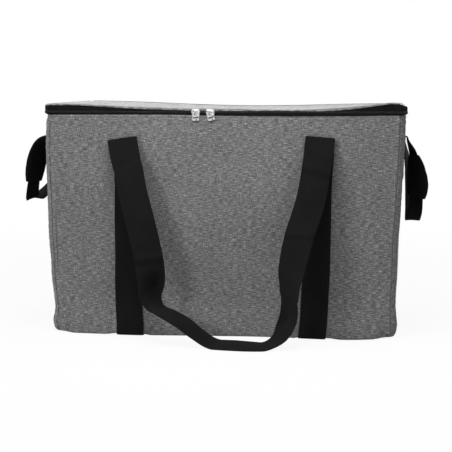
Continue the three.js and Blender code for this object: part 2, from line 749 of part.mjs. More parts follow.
// Where a strip of webbing folds over at its top: the middle of the fold, seen as if on the front
function foldMiddle(side, middle, width, height) {
  const u = stripMiddle(side, middle, height);
  const faces = [-0.5, 0, 0.5].map((edge) => onSide(side, u + edge * width, height, 0));
  const stand = Math.max(...faces.map(([x, y]) => OUTWARD[side][0] * x + OUTWARD[side][1] * y));
  return new THREE.Vector3(u, -(stand + CLEARANCE + WEBBING + FOLD_RADIUS), height);
}

// The bend of the webbing over its fold, half a ring across the strip
function fold(side, middle, width, height) {
  const centre = foldMiddle(side, middle, width, height);
  const shape = new THREE.Shape();
  shape.absarc(0, 0, FOLD_RADIUS + WEBBING, 0, Math.PI, false);
  shape.absarc(0, 0, FOLD_RADIUS, Math.PI, 0, true);
  const geometry = new THREE.ExtrudeGeometry(shape, {
    depth: width,
    bevelEnabled: false,
    curveSegments: FOLD_STEPS,
  });
  geometry.translate(0, 0, -width / 2).rotateY(Math.PI / 2).rotateX(Math.PI / 2);
  return turned(geometry.translate(centre.x, centre.y, centre.z), side);
}

// Stations along a handle. A route's rows are: share of the way from the first fold to the second, how far
// it stands out from the folds, its height above the lowest point as a share of the fold's, and the turn of
// the webbing about the vertical in degrees.
function stations(route, left, right, lowest, count) {
  const start = -(FOLD_RADIUS + WEBBING / 2);
  const top = left.z - CLEARANCE;
  const path = new THREE.CatmullRomCurve3(route.map(([share, out, height]) => new THREE.Vector3(
    THREE.MathUtils.lerp(left.x, right.x, share),
    THREE.MathUtils.lerp(left.y, right.y, share) + start - out,
    THREE.MathUtils.lerp(lowest, top, height),
  )), false, 'centripetal');
  const turns = new THREE.CatmullRomCurve3(route.map(([, , , turn], i) => new THREE.Vector3(i, turn, 0)));
  const steps = Array.from({ length: count + 1 }, (_, i) => i / count);
  return steps.map((step) => {
    const place = path.getUtoTmapping(step);
    const point = path.getPoint(place);
    point.z = Math.max(point.z, lowest);
    const travel = path.getTangent(place);
    if (step === 0 || step === 1) {
      travel.set(0, 0, 2 * step - 1);
    }
    const turn = THREE.MathUtils.degToRad(turns.getPoint(place).y);
    const across = new THREE.Vector3(Math.cos(turn), Math.sin(turn), 0);
    const normal = travel.clone().cross(across).normalize();
    across.crossVectors(normal, travel).normalize();
    return { point, across, normal };
  });
}

// A point of a strip's section, from its station
function offset({ point, across, normal }, side, out) {
  return point.clone().addScaledVector(across, side).addScaledVector(normal, out).toArray();
}

function ribbon(frames, width, thickness) {
  const grid = (out) => frames.map((frame) => [
    offset(frame, -width / 2, out),
    offset(frame, width / 2, out),
  ]);
  return plate(grid(thickness / 2), grid(-thickness / 2));
}

// Long handles: the sewn stretches, the strip below the base, the folds and the free loop

const FRONT_LOOP = [
  [0, 0, 1, 0],
  [0, 1, 0.985, 0],
  [0.004, 8, 0.9, 0],
  [0.02, 17, 0.76, 0],
  [0.06, 27, 0.58, 2],
  [0.11, 33, 0.4, 8],
  [0.13, 38, 0.29, 26],
  [0.14, 44, 0.21, 50],
  [0.172, 50, 0.165, 65],
  [0.24, 56, 0.135, 72],
  [0.32, 63, 0.098, 76],
  [0.39, 70, 0.055, 80],
  [0.465, 77, 0.018, 85],
  [0.56, 83, 0.001, 89],
  [0.66, 86, 0, 91],
  [0.75, 82, 0.012, 96],
  [0.82, 72, 0.05, 112],
  [0.855, 60, 0.12, 134],
  [0.862, 50, 0.22, 152],
  [0.864, 41, 0.35, 168],
  [0.898, 31, 0.52, 177],
  [0.955, 19, 0.7, 180],
  [0.985, 9, 0.87, 180],
  [1, 1, 0.985, 180],
  [1, 0, 1, 180],
];

const REAR_HALF = [
  [0, 0, 1, 0],
  [0, 1, 0.985, 0],
  [0.005, 8, 0.9, 0],
  [0.015, 18, 0.74, 0],
  [0.03, 27, 0.56, 3],
  [0.06, 35, 0.38, 10],
  [0.1, 43, 0.24, 24],
  [0.16, 51, 0.14, 42],
  [0.24, 59, 0.075, 62],
  [0.34, 67, 0.035, 78],
  [0.42, 71, 0.006, 87],
];

function mirroredRoute(half, middle) {
  const back = half.map(([share, out, height, turn]) => [1 - share, out, height, 180 - turn]);
  return [...half, middle, ...back.reverse()];
}

const REAR_LOOP = mirroredRoute(REAR_HALF, [0.5, 73, 0, 90]);

function longHandle(end, side, route) {
  const { middles } = stripsOn(side);
  const names = side === FRONT ? ['left', 'right'] : ['right', 'left'];
  const heights = [0, ...heightsBetween(WALL_FOOT, STRIP_TOP)];
  middles.forEach((middle, i) => {
    add(`${end}_${names[i]}_strap`, 'webbing', sewnStrip(side, middle, STRAP_WIDTH, heights));
    add(`${end}_${names[i]}_fold`, 'webbing', fold(side, middle, STRAP_WIDTH, FOLD_HEIGHT));
  });
  const folds = middles.map((middle) => foldMiddle(side, middle, STRAP_WIDTH, FOLD_HEIGHT));
  const frames = stations(route, folds[0], folds[1], CLEARANCE + WEBBING / 2, LOOP_STEPS);
  add(`${end}_handle`, 'webbing', turned(ribbon(frames, STRAP_WIDTH, WEBBING), side));
}

function baseStraps() {
  ['left', 'right'].forEach((name, i) => {
    const middle = stripMiddle(FRONT, stripsOn(FRONT).middles[i], 0);
    const reach = halfDepthAt(0);
    const low = [middle - STRAP_WIDTH / 2, -reach, 0];
    const high = [middle + STRAP_WIDTH / 2, reach, WEBBING];
    add(`base_${name}_strap`, 'webbing', box(low, high));
  });
}

// Side grab handles. The padded sleeve has slid towards the front end of each.

const RIGHT_GRAB = [
  [0, 0, 1, 0],
  [0, 1.5, 0.96, 2],
  [0, 8, 0.85, 14],
  [0.01, 13, 0.68, 28],
  [0.04, 17, 0.48, 40],
  [0.08, 19.5, 0.28, 54],
  [0.13, 20, 0.12, 74],
  [0.21, 19, 0.02, 88],
  [0.34, 18, 0.02, 93],
  [0.5, 16, 0.16, 104],
  [0.67, 13, 0.38, 126],
  [0.83, 9, 0.64, 150],
  [0.95, 4, 0.86, 170],
  [1, 1, 0.97, 179],
  [1, 0, 1, 180],
];

const LEFT_GRAB = [
  [0, 0, 1, 0],
  [0, 1, 0.96, 2],
  [0.05, 4, 0.83, 10],
  [0.18, 10, 0.6, 28],
  [0.35, 18, 0.36, 50],
  [0.52, 27, 0.17, 70],
  [0.68, 35, 0.05, 84],
  [0.8, 40, 0, 90],
  [0.88, 41, 0.07, 94],
  [0.94, 37, 0.2, 100],
  [0.97, 32, 0.42, 108],
  [0.99, 26, 0.66, 122],
  [1, 17, 0.86, 144],
  [1, 4, 0.96, 174],
  [1, 0, 1, 180],
];

// The sleeve follows the webbing from one of its steps to another, and the slot runs on past both ends
function sleeve(frames, [from, to]) {
  const outside = frames.slice(from, to + 1).map((frame) => SLEEVE_RING.map(([share, rise]) => (
    offset(frame, share * SLEEVE_WIDTH / 2, rise * SLEEVE_THICKNESS / 2))));
  const slot = ribbon(frames.slice(from - 1, to + 2), SLEEVE_SLOT_WIDTH, SLEEVE_SLOT_HEIGHT);
  return cut(skin(outside, false), [slot]);
}

function grabHandle(name, side, route, drop, sleeveSteps) {
  const half = GRAB_SPACING / 2;
  const ends = side === RIGHT ? ['front', 'rear'] : ['rear', 'front'];
  const heights = heightsBetween(ANCHOR_FOOT, STRIP_TOP);
  [-half, half].forEach((middle, i) => {
    add(`${name}_${ends[i]}_anchor`, 'webbing', sewnStrip(side, middle, GRAB_WIDTH, heights));
    add(`${name}_${ends[i]}_fold`, 'webbing', fold(side, middle, GRAB_WIDTH, FOLD_HEIGHT));
  });
  const folds = [-half, half].map((middle) => foldMiddle(side, middle, GRAB_WIDTH, FOLD_HEIGHT));
  const frames = stations(route, folds[0], folds[1], FOLD_HEIGHT - drop, GRAB_STEPS);
  add(`${name}_grab_handle`, 'webbing', turned(ribbon(frames, GRAB_WIDTH, WEBBING), side));
  add(`${name}_grab_sleeve`, 'webbing', turned(sleeve(frames, sleeveSteps), side));
}

outerPanels();
base();
foamBoards();
liner();
rim();
lid();
zip();
sliders();
longHandle('front', FRONT, FRONT_LOOP);
longHandle('rear', BACK, REAR_LOOP);
baseStraps();
grabHandle('right', RIGHT, RIGHT_GRAB, RIGHT_GRAB_DROP, RIGHT_SLEEVE_STEPS);
grabHandle('left', LEFT, LEFT_GRAB, LEFT_GRAB_DROP, LEFT_SLEEVE_STEPS);

export default bag;
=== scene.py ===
import math

import bpy
import numpy as np
from mathutils import Euler, Matrix, Vector

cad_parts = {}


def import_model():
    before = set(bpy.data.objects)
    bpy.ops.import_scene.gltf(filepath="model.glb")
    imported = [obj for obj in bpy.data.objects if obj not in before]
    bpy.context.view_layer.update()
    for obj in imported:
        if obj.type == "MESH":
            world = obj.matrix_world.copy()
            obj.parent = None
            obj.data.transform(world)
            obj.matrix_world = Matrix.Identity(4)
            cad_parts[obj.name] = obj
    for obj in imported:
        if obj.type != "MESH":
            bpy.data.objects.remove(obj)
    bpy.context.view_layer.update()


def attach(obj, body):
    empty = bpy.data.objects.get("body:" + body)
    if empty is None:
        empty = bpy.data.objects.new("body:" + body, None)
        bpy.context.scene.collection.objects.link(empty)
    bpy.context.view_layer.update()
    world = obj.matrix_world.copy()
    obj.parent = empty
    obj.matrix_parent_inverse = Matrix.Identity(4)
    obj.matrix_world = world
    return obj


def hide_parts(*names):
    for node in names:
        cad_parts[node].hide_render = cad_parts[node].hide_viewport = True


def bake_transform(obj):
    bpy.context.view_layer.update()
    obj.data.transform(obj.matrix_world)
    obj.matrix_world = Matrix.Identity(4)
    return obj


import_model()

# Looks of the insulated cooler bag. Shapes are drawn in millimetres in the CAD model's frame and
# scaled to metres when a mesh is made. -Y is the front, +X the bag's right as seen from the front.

MM = 0.001

# Wall of the bag, as in the CAD model
TOP_WIDTH, BASE_WIDTH = 600.0, 590.0
TOP_DEPTH, BASE_DEPTH = 350.0, 346.0
PANEL_HEIGHT = 370.0
CORNER_RADIUS = 16.0
WAIST_WIDTH_LOSS, WAIST_DEPTH_LOSS = 4.0, 2.0
WAIST_HEIGHT, WAIST_SPREAD = 50.0, 45.0
FACE_CROWN, SIDE_CROWN = 7.0, 3.0
SEAM_ANGLE = 25.0

# Layers of the wall, measured inwards from the outer face of the fabric
FABRIC = 1.0
CLEARANCE = 0.3
FOAM_OUT, FOAM_IN = 1.3, 9.3
LINER_OUT, LINER_IN = 9.6, 10.4
TAPE_OUT, TAPE_IN = 1.3, 2.1
RIM_TOP, RIM_BOTTOM = 366.0, 361.8
FOAM_TOP = 361.5
BASE_FOAM_BOTTOM, BASE_FOAM_TOP = 3.9, 11.9
LINER_FLOOR = 12.2

# Bottom edge: how far the fabric stands off the floor, beside and over the straps, and the roll
# above it, which grows towards the corners
FOOT, FOOT_OVER_STRAP = 0.5, 2.4
ROLL = 3.5
CORNER_TALL, CORNER_WIDE, CORNER_LIFT = 24.0, 10.0, 1.5
UNDER = 7.0
BASE_CLOTH_INSET, BASE_CLOTH_RISE = 10.0, 1.3

# Zip
ZIP_HEIGHT = 375.0
ZIP_END_ANGLE = 35.0
CORNER_PUSH, CORNER_TUCK = 3.8, 2.2
COIL_PITCH, COIL_WIRE = 1.7, 0.42
COIL_RADIUS = (1.2, 1.1)
COIL_SPREAD, BODY_COIL_RISE, LID_COIL_RISE = 0.85, -0.7, 1.3
SLIDER_X = (-45.0, -21.0)
RIGHT_PULL_SHIFT, RIGHT_PULL_LEAN = -1.6, -0.25
PLATE, INNER_PLATE = (0.3, 1.7), (-4.5, -3.3)
BAR_STAND, BAR_RISE, BAR_RADIUS = 3.9, 3.0, 0.7

# Webbing
WEBBING = 2.0
STRAP_WIDTH, STRAP_SPACING = 48.0, 320.0
GRAB_WIDTH, GRAB_SPACING = 25.0, 150.0
FOLD_HEIGHT, FOLD_RADIUS = 330.0, 1.2
FOLD_MIDDLE = FOLD_RADIUS + WEBBING / 2
GRAB_ANCHOR = 70.0
HANDLE_STATIONS, GRAB_STATIONS, ROUTE_STEPS = 190, 120, 1600
SLEEVE_WIDTH, SLEEVE_THICKNESS = 45.0, 8.5
SLEEVE_SLOT = (27.5, 3.4)
SLEEVE_SQUARENESS, SLEEVE_TAPER, SLEEVE_THINNING = (0.55, 0.8), 0.26, 0.4

# Stitching
STITCH_PITCH, STITCH_LENGTH, THREAD_RADIUS = 4.6, 3.3, 0.34
STRAP_MARGIN, TAB_MARGIN = 3.2, 2.8
HEM_DROP, SEAM_SIDE, LID_EDGE = 5.2, 4.4, 6.2
STRAP_ROWS = (9, FOLD_HEIGHT - 18)
TAB_ROWS = (FOLD_HEIGHT - GRAB_ANCHOR + 3, FOLD_HEIGHT - 18)

# Lid: height of its top along the front and the rear edge, and of the grey fabric's lower edge in
# front, all by x
LID_FRONT_TOP = ((-300, 388.6), (-247, 388.0), (-163, 384.2), (-55, 381.0), (0, 380.6),
                 (159, 380.3), (224, 385.2), (256, 389.0), (280, 391.2), (300, 391.4))
LID_REAR_TOP = ((-300, 388.4), (-230, 387.2), (-150, 384.4), (-60, 380.8), (0, 379.6),
                (110, 380.2), (200, 382.6), (300, 384.0))
BAND_TOP = ((-300, 386.0), (-247, 386.2), (-163, 381.4), (-55, 377.7), (120, 377.3),
            (159, 376.9), (224, 381.8), (256, 386.6), (280, 389.2), (300, 389.2))
LID_MIDDLE_SAG = 3.0
RIGHT_CORNER_DROP, CORNER_DROP = 8.6, 4.0
LID_SKIRT, LID_LIP = 2.6, 1.4
LID_EDGE_ROUND = 3.2
LID_FOAM = 7.0
LID_INNER_INSET = 5.0
# The cloth over the hinge: how far it stands out behind the wall and lies below the lid's rear edge
HINGE_STAND = np.array([0.25, 0.3, 0.45, 0.5, 0.1, -0.9, -2.2, -4.2])
HINGE_BELOW = np.array([9.0, 6.0, 3.0, 1.4, 0.1, -0.55, -0.7, -0.75])

# How far the corners stand out from the CAD wall on the left and on the right, by height
LEFT_OUT = ((0, 1.2), (21, 2.0), (40, 0.4), (60, 2.6), (80, 3.6), (97, 3.4), (123, 2.0),
            (157, 2.6), (200, 2.6), (285, 3.4), (336, 1.9), (361, -0.3), (370, -1.0))
RIGHT_OUT = ((0, -5.0), (12, -5.6), (21, -5.1), (46, -4.4), (63, -4.6), (97, -5.4), (129, -6.6),
             (162, -6.6), (200, -5.0), (240, -3.6), (297, -2.2), (338, -1.2), (366, -0.8),
             (370, -0.6))
# How far the front and the back bulge out above the floor, by the place along them from the middle,
# and how far the front's top edge dips below the zip, by x
BELLY = ((-284, 1.0), (-240, 6.0), (-200, 10.0), (-150, 13.5), (-90, 11.0), (0, 8.0), (100, 9.0),
         (150, 14.0), (190, 18.0), (228, 16.5), (258, 9.0), (284, 2.0))
HEM_DIP = ((-300, 0.0), (-60, 0.0), (0, 1.1), (230, 1.1), (280, 0.2), (300, 0.0))
BELLY_HEIGHT, BELLY_SPREAD = 4, 40
HOLLOW, HOLLOW_HEIGHT, HOLLOW_SPREAD = 1.2, 130, 70
# How much the sewn webbing stills the dents, and how far the puckers stand out and reach
STRAP_HOLD = 0.85
PUCKER_HEIGHT, PUCKER_REACH = 0.55, 7
# Ridges and grooves, each by its height, middle and spread: by length from a seam, and by height
SEAM_RIDGES = ((-1.5, 0, 0.8), (0.45, 2.2, 1.2))
HEM_RIDGES = ((0.8, 367.4, 1.7), (-0.15, 363.6, 0.9), (0.3, 362.4, 1.6))

# Sides of the bag. A place is a side's number plus a share: its flat part up to FLAT_SHARE, then
# the corner after it.
FRONT, RIGHT, BACK, LEFT = range(4)
ALONG = np.array([[1, 0], [0, 1], [-1, 0], [0, -1]])
OUTWARD = np.array([[0, -1], [1, 0], [0, 1], [-1, 0]])
FLAT_SHARE = 0.8
CORNER_ANGLES = (0, 7, 14, 19, 22.5, 24, 25, 26, 27.5, 31, 37,
                 45, 53, 59, 62.5, 64, 65, 66, 67.5, 71, 76, 83)
# Rings of a flat layer, as shares of its outline
SCALES = (1.0, 0.985, 0.96, 0.92, 0.87, 0.81, 0.74, 0.66, 0.57, 0.47, 0.36, 0.24, 0.12, 0.04)

# Stage, in metres. What the camera sees of the floor glows fully from GLOW_FAR on.
FLOOR_SIZE, FLOOR_DROP = 12.0, 0.0003
FLOOR_GREY, FLOOR_GLOW, GLOW_NEAR, GLOW_FAR = 0.6, 0.92, 0.7, 1.6
WORLD_LIGHT = 0.22
SENSOR, FOCAL_PIXELS, PHOTO_PIXELS = 36.0, 1205, 452
CAMERA_PLACE, CAMERA_DOWN, CAMERA_TURN = (0.199, -2.155, 0.422), 6.75, 5.6
# Each lamp by its name, place, target, size and power
LAMPS = (
    ("overhead", (0.0, -0.1, 2.2), (0, 0, 0.2), (2.4, 2.0), 41),
    ("front_left", (-1.9, -1.7, 1.2), (0, 0, 0.2), (0.55, 0.55), 42),
    ("front_right", (2.0, -1.9, 1.1), (0, 0, 0.2), (0.9, 0.9), 12),
    ("above_front", (0.0, -0.5, 0.72), (0.0, -0.17, 0.345), (0.4, 0.2), 2.6),
    ("behind", (1.3, 2.2, 1.5), (0.05, 0, 0.38), (2.0, 1.0), 27),
)


# Small mathematics

def table(value, rows):
    """The value of a smooth curve through rows of (key, height)."""
    keys, heights = np.array(rows, float).T
    slopes = np.gradient(heights, keys)
    value = np.clip(value, keys[0], keys[-1])
    i = np.clip(np.searchsorted(keys, value, side="right") - 1, 0, len(keys) - 2)
    step = keys[i + 1] - keys[i]
    t = (value - keys[i]) / step
    a, b = heights[i], heights[i + 1]
    c, d = slopes[i] * step, slopes[i + 1] * step
    return a + t * (c + t * (3 * (b - a) - 2 * c - d + t * (2 * (a - b) + c + d)))


def smooth(low, high, value):
    """0 at low, 1 at high, with a soft rise between."""
    t = np.clip((value - low) / (high - low), 0, 1)
    return t * t * (3 - 2 * t)


def bump(value, middle, spread):
    """1 at the middle, falling to 0 on both sides."""
    return np.exp(-(((value - middle) / spread) ** 2))


def ridges(value, rows):
    """A sum of ridges and grooves, each with a height, a middle and a spread."""
    return sum(height * bump(value, middle, spread) for height, middle, spread in rows)


def ripples(u, v, waves):
    """A sum of soft waves, each with an amplitude, a length along u, one along v and a phase."""
    return sum(amplitude * np.sin(2 * np.pi * (u / along + v / up) + phase)
               for amplitude, along, up, phase in waves)


def seeded_waves(seed, count, amplitude, lengths):
    """Waves for ripples, drawn at random within a range of lengths."""
    random = np.random.default_rng(seed)
    waves = []
    for _ in range(count):
        along = random.uniform(*lengths) * random.choice([-1, 1])
        up = random.uniform(*lengths) * random.choice([-1, 1])
        tall = amplitude * random.uniform(0.5, 1)
        waves.append((tall, along, up, random.uniform(0, 2 * np.pi)))
    return waves


def unit(vectors):
    """The vectors, each at length 1."""
    return vectors / np.linalg.norm(vectors, axis=-1)[..., None]


def run_along(points):
    """The length from the first point to each one."""
    return np.append(0, np.cumsum(np.linalg.norm(np.diff(points, axis=0), axis=1)))


def around(first, second, sides):
    """A circle of vectors in the plane of two vectors, for every pair of them."""
    angle = 2 * np.pi * np.arange(sides)[:, None] / sides
    return np.cos(angle) * first[..., None, :] + np.sin(angle) * second[..., None, :]


def spatial(x, y, z):
    """Points from their coordinates, which may be single numbers."""
    return np.stack(np.broadcast_arrays(x, y, z), -1)


DENTS = seeded_waves(11, 7, 0.42, (150, 420))
CREASES = seeded_waves(5, 5, 0.16, (28, 70))
PUCKERS = seeded_waves(23, 4, 0.5, (9, 19))
CRINKLES = seeded_waves(31, 7, 0.22, (26, 95))
LID_DENTS = seeded_waves(17, 6, 0.3, (90, 260))
LID_CREASES = seeded_waves(19, 5, 0.1, (24, 60))


# Meshes

class Build:
    """Collects the points, faces and face corner UVs of one mesh, in millimetres."""

    def __init__(self):
        self.points, self.faces, self.uvs = [], [], []
        self.count = 0

    def add_points(self, points):
        """The indices of new points, in the shape of their array."""
        points = np.asarray(points, float)
        flat = points.reshape(-1, 3)
        self.points.append(flat)
        self.count += len(flat)
        return self.count - len(flat) + np.arange(len(flat)).reshape(points.shape[:-1])

    def quads(self, index, u, v, closed=False):
        """Faces over a grid of indices (columns, rows). u and v are given for every grid place."""
        columns, rows = index.shape
        for i in range(columns if closed else columns - 1):
            k = (i + 1) % columns
            for j in range(rows - 1):
                self.faces.append((index[i, j], index[k, j], index[k, j + 1], index[i, j + 1]))
                places = ((i, j), (i + 1, j), (i + 1, j + 1), (i, j + 1))
                self.uvs.append(tuple((u[place], v[place]) for place in places))

    def sheet(self, outer, inner, u, v, closed=False):
        """A closed plate between two grids. Seen from outside, columns run right and rows up."""
        columns, rows = outer.shape[:2]
        u, v = (np.broadcast_to(values, (columns + closed, rows)) for values in (u, v))
        out, back = self.add_points(outer), self.add_points(inner)
        self.quads(out, u, v, closed)
        self.quads(back[:, ::-1], u[:, ::-1], v[:, ::-1], closed)
        for axis in (1,) if closed else (1, 0):
            for edge, order in ((0, (back, out)), (-1, (out, back))):
                pairs = (order, (u, u + FABRIC * (1 - axis)), (v, v + FABRIC * axis))
                rim = [np.stack([grid.take(edge, axis) for grid in pair], axis) for pair in pairs]
                self.quads(*rim, closed)

    def tube(self, rings, u, v):
        """A skin through rings of points (stations, count, 3), with its ends closed."""
        stations, count = rings.shape[:2]
        u, v = (np.broadcast_to(values, (stations, count + 1)) for values in (u, v))
        index = self.add_points(rings)
        self.quads(index.T, u.T, v.T, closed=True)
        for row, step in ((0, -1), (-1, 1)):
            self.faces.append(tuple(index[row][::step]))
            self.uvs.append(tuple(zip(u[row, :count][::step], v[row, :count][::step])))

    def mesh(self, name, sharp):
        """The Blender mesh, smooth except at edges sharper than an angle in degrees."""
        mesh = bpy.data.meshes.new(name)
        points = np.concatenate(self.points) * MM
        faces = [tuple(int(i) for i in face) for face in self.faces]
        mesh.from_pydata(points.tolist(), [], faces)
        flat = np.array([corner for face in self.uvs for corner in face], float) * MM
        mesh.uv_layers.new(name="UVMap").data.foreach_set("uv", flat.ravel())
        mesh.shade_smooth()
        mesh.set_sharp_from_angle(angle=math.radians(sharp))
        mesh.update()
        return mesh


def link(name, data):
    obj = bpy.data.objects.new(name, data)
    bpy.context.scene.collection.objects.link(obj)
    return obj


def piece(name, build, finish, body=None, nodes=(), sharp=40.0, moves=()):
    """An object with its material. It rides on a body, if one is given."""
    mesh = build.mesh(name, sharp)
    for move in moves:
        mesh.transform(move)
    obj = link(name, mesh)
    material, slot = FINISHES[finish]
    mesh.materials.append(material)
    if body:
        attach(obj, body)
    if nodes:
        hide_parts(*nodes)
    return obj


# Materials

class Nodes:
    """The nodes of a material or a world."""

    def __init__(self, tree):
        self.tree = tree

    def node(self, kind, inputs=(), **settings):
        """A new node. An input is given a value or another node's output."""
        node = self.tree.nodes.new(kind)
        for key, value in settings.items():
            setattr(node, key, value)
        for key, value in dict(inputs).items():
            self.set(node, key, value)
        return node

    def set(self, node, key, value):
        if isinstance(value, bpy.types.NodeSocket):
            self.tree.links.new(value, node.inputs[key])
        else:
            node.inputs[key].default_value = value

    def math(self, operation, a, b=0.0, c=0.0):
        return self.node("ShaderNodeMath", {0: a, 1: b, 2: c}, operation=operation).outputs[0]

    def add(self, a, b):
        return self.math("ADD", a, b)

    def times(self, a, b):
        return self.math("MULTIPLY", a, b)

    def line(self, value, slope, start):
        return self.math("MULTIPLY_ADD", value, slope, start)

    def seen(self):
        """1 for what the camera sees, straight, mirrored or through glass, and 0 for the rest."""
        rays = self.node("ShaderNodeLightPath").outputs
        straight = self.math("MAXIMUM", rays["Is Camera Ray"], rays["Is Glossy Ray"])
        return self.math("MAXIMUM", straight, rays["Is Transmission Ray"])

    def mixed(self, share, a, b, output):
        """Two shaders mixed into an output node."""
        mixed = self.node("ShaderNodeMixShader", {0: share, 1: a, 2: b})
        self.node(output, {0: mixed.outputs[0]})


class Graph(Nodes):
    """A node material around one Principled shader, in metres of the UV map."""

    def __init__(self, name, **sockets):
        self.material = bpy.data.materials.new(name)
        self.material.use_nodes = True
        super().__init__(self.material.node_tree)
        self.shader = self.tree.nodes["Principled BSDF"]
        for key, value in sockets.items():
            self.set(self.shader, key.replace("_", " "), value)
        self.uv = self.node("ShaderNodeUVMap").outputs[0]
        self.u, self.v, _ = self.node("ShaderNodeSeparateXYZ", {0: self.uv}).outputs

    def scaled(self, across, up, shift=(0, 0, 0)):
        inputs = {0: self.uv, 1: shift, 3: (across, up, 1)}
        return self.node("ShaderNodeMapping", inputs).outputs[0]

    def noise(self, across, up, detail=2.0, roughness=0.5, shift=(0, 0, 0)):
        """Noise with so many patches to the metre."""
        inputs = {"Vector": self.scaled(across, up, shift), "Scale": 1.0, "Detail": detail,
                  "Roughness": roughness}
        return self.node("ShaderNodeTexNoise", inputs).outputs[0]

    def cells(self, count, feature):
        inputs = {"Vector": self.scaled(count, count), "Scale": 1.0}
        return self.node("ShaderNodeTexVoronoi", inputs, feature=feature).outputs[0]

    def wave(self, value, pitch):
        """A sine of a length in metres."""
        return self.math("SINE", self.times(value, 2 * math.pi / pitch))

    def ramp(self, value, *stops):
        """A colour ramp. A stop's colour is a grey or a triple."""
        node = self.node("ShaderNodeValToRGB", {0: value})
        elements = node.color_ramp.elements
        while len(elements) < len(stops):
            elements.new(0.5)
        for element, (position, colour) in zip(elements, stops):
            element.position = position
            element.color = (*(colour if isinstance(colour, tuple) else (colour,) * 3), 1)
        return node.outputs[0]

    def mix(self, share, a, b, blend="MIX"):
        inputs = {0: share, 6: a, 7: b}
        settings = {"data_type": "RGBA", "blend_type": blend}
        return self.node("ShaderNodeMix", inputs, **settings).outputs[2]

    def finish(self, colour, roughness, height=None, distance=0.0002, strength=0.5):
        self.set(self.shader, "Base Color", colour)
        self.set(self.shader, "Roughness", roughness)
        if height:
            inputs = {"Height": height, "Distance": distance, "Strength": strength}
            self.set(self.shader, "Normal", self.node("ShaderNodeBump", inputs).outputs[0])
        return self.material


def heather_cloth():
    """Grey melange polyester: light and dark slub yarns both ways of a plain weave."""
    g = Graph("heather_cloth", Sheen_Weight=0.74, Sheen_Roughness=0.3, Specular_IOR_Level=0.2)
    pitch = 0.0009
    weft = g.noise(120, 1100, roughness=0.55)
    warp = g.noise(1100, 120, roughness=0.55, shift=(3, 5, 0))
    slub = g.noise(85, 640, detail=1, shift=(9, 2, 0))
    rib = g.noise(640, 85, detail=1, shift=(2, 7, 0))
    weave = g.times(g.wave(g.u, pitch), g.wave(g.v, pitch))
    over = g.math("MINIMUM", g.math("MAXIMUM", g.line(weave, 0.9, 0.27), 0.0), 1.0)
    yarn = g.mix(over, (0, 0, 0, 1), (1, 1, 1, 1))
    tone = g.add(g.times(weft, g.math("SUBTRACT", 1.0, yarn)), g.times(warp, yarn))
    tone = g.add(g.add(tone, g.line(slub, 0.22, -0.11)), g.line(rib, 0.06, -0.03))
    base = g.ramp(tone, (0.3, 0.022), (0.44, 0.072), (0.56, 0.143), (0.7, 0.33))
    worn = g.ramp(g.noise(16, 20), (0.3, 0.94), (0.7, 1.04))
    height = g.add(g.times(weave, 0.5), g.times(tone, 1.4))
    colour = g.mix(1.0, base, worn, "MULTIPLY")
    return g.finish(colour, g.line(tone, 0.2, 0.76), height, 0.00028, 0.55)


def black_webbing(name, across, rib, dark, light):
    """Ribbed polyester webbing. Its ribs lean one way and the other in a herringbone."""
    g = Graph(name, Sheen_Weight=0.01, Sheen_Roughness=0.4, Specular_IOR_Level=0.06)
    twill = g.wave(g.add(g.v, g.math("PINGPONG", g.u, across)), rib)
    picks = g.wave(g.u, rib * 0.8)
    lint = g.noise(260, 900, detail=3, roughness=0.6)
    patch = g.noise(30, 22)
    tone = g.add(g.line(twill, 0.22, 0.2), g.times(lint, 0.55))
    tone = g.add(tone, g.line(patch, 0.3, -0.15))
    colour = g.ramp(tone, (0.2, dark), (0.8, light))
    height = g.add(twill, g.times(picks, 0.35))
    return g.finish(colour, g.line(lint, 0.25, 0.7), height, 0.0002, 0.6)


def coil_nylon():
    g = Graph("coil_nylon", Specular_IOR_Level=0.25)
    tint = g.noise(300, 300)
    colour = g.ramp(tint, (0.3, (0.006, 0.0055, 0.005)), (0.7, (0.018, 0.016, 0.015)))
    return g.finish(colour, g.line(tint, 0.2, 0.3))


def bright_metal():
    """Nickel plate with fine scratches. Its colour is darkened in random blotches, which are
    painted dark reflections; the same blotches vary its roughness a little.
    """
    g = Graph("bright_metal", Metallic=1.0)
    brush = g.noise(500, 4200, detail=3)
    painted_reflection_cloud = g.noise(320, 320)
    # Painted reflection: the dark end of this ramp blackens the plating in random blotches,
    # standing in for dark surroundings mirrored in the nickel.
    colour = g.ramp(painted_reflection_cloud, (0.36, (0.16, 0.157, 0.154)), (0.62, (0.8, 0.79, 0.78)))
    roughness = g.add(g.line(brush, 0.12, 0.2), g.times(painted_reflection_cloud, 0.1))
    return g.finish(colour, roughness, brush, 0.00002, 0.25)


def foil_film():
    """Aluminised film, crinkled where it was folded round the foam."""
    g = Graph("foil_film", Metallic=0.85, Specular_IOR_Level=0.5)
    crease = g.math("MINIMUM", g.cells(42, "DISTANCE_TO_EDGE"), 0.12)
    crinkle = g.noise(95, 95, detail=5, roughness=0.6)
    dull = g.noise(9, 9, detail=3)
    colour = g.ramp(dull, (0.3, (0.42, 0.43, 0.44)), (0.7, (0.6, 0.61, 0.62)))
    height = g.add(g.times(crease, 4.0), g.times(crinkle, 0.9))
    return g.finish(colour, g.line(dull, 0.2, 0.46), height, 0.0013, 0.5)


def white_foam():
    g = Graph("white_foam", Specular_IOR_Level=0.3, Subsurface_Weight=0.05)
    cell = g.cells(520, "F1")
    colour = g.ramp(cell, (0.0, 0.62), (0.8, 0.8))
    return g.finish(colour, g.line(cell, 0.1, 0.75), cell, 0.0004, 0.5)


def thread(name, dark, light):
    """Two-ply sewing thread."""
    g = Graph(name, Specular_IOR_Level=0.1)
    ply = g.wave(g.line(g.v, 1.6, g.u), 0.0011)
    tint = g.noise(900, 900)
    colour = g.ramp(g.line(ply, 0.2, tint), (0.25, dark), (0.75, light))
    return g.finish(colour, g.line(tint, 0.2, 0.55), ply, 0.0001, 0.6)


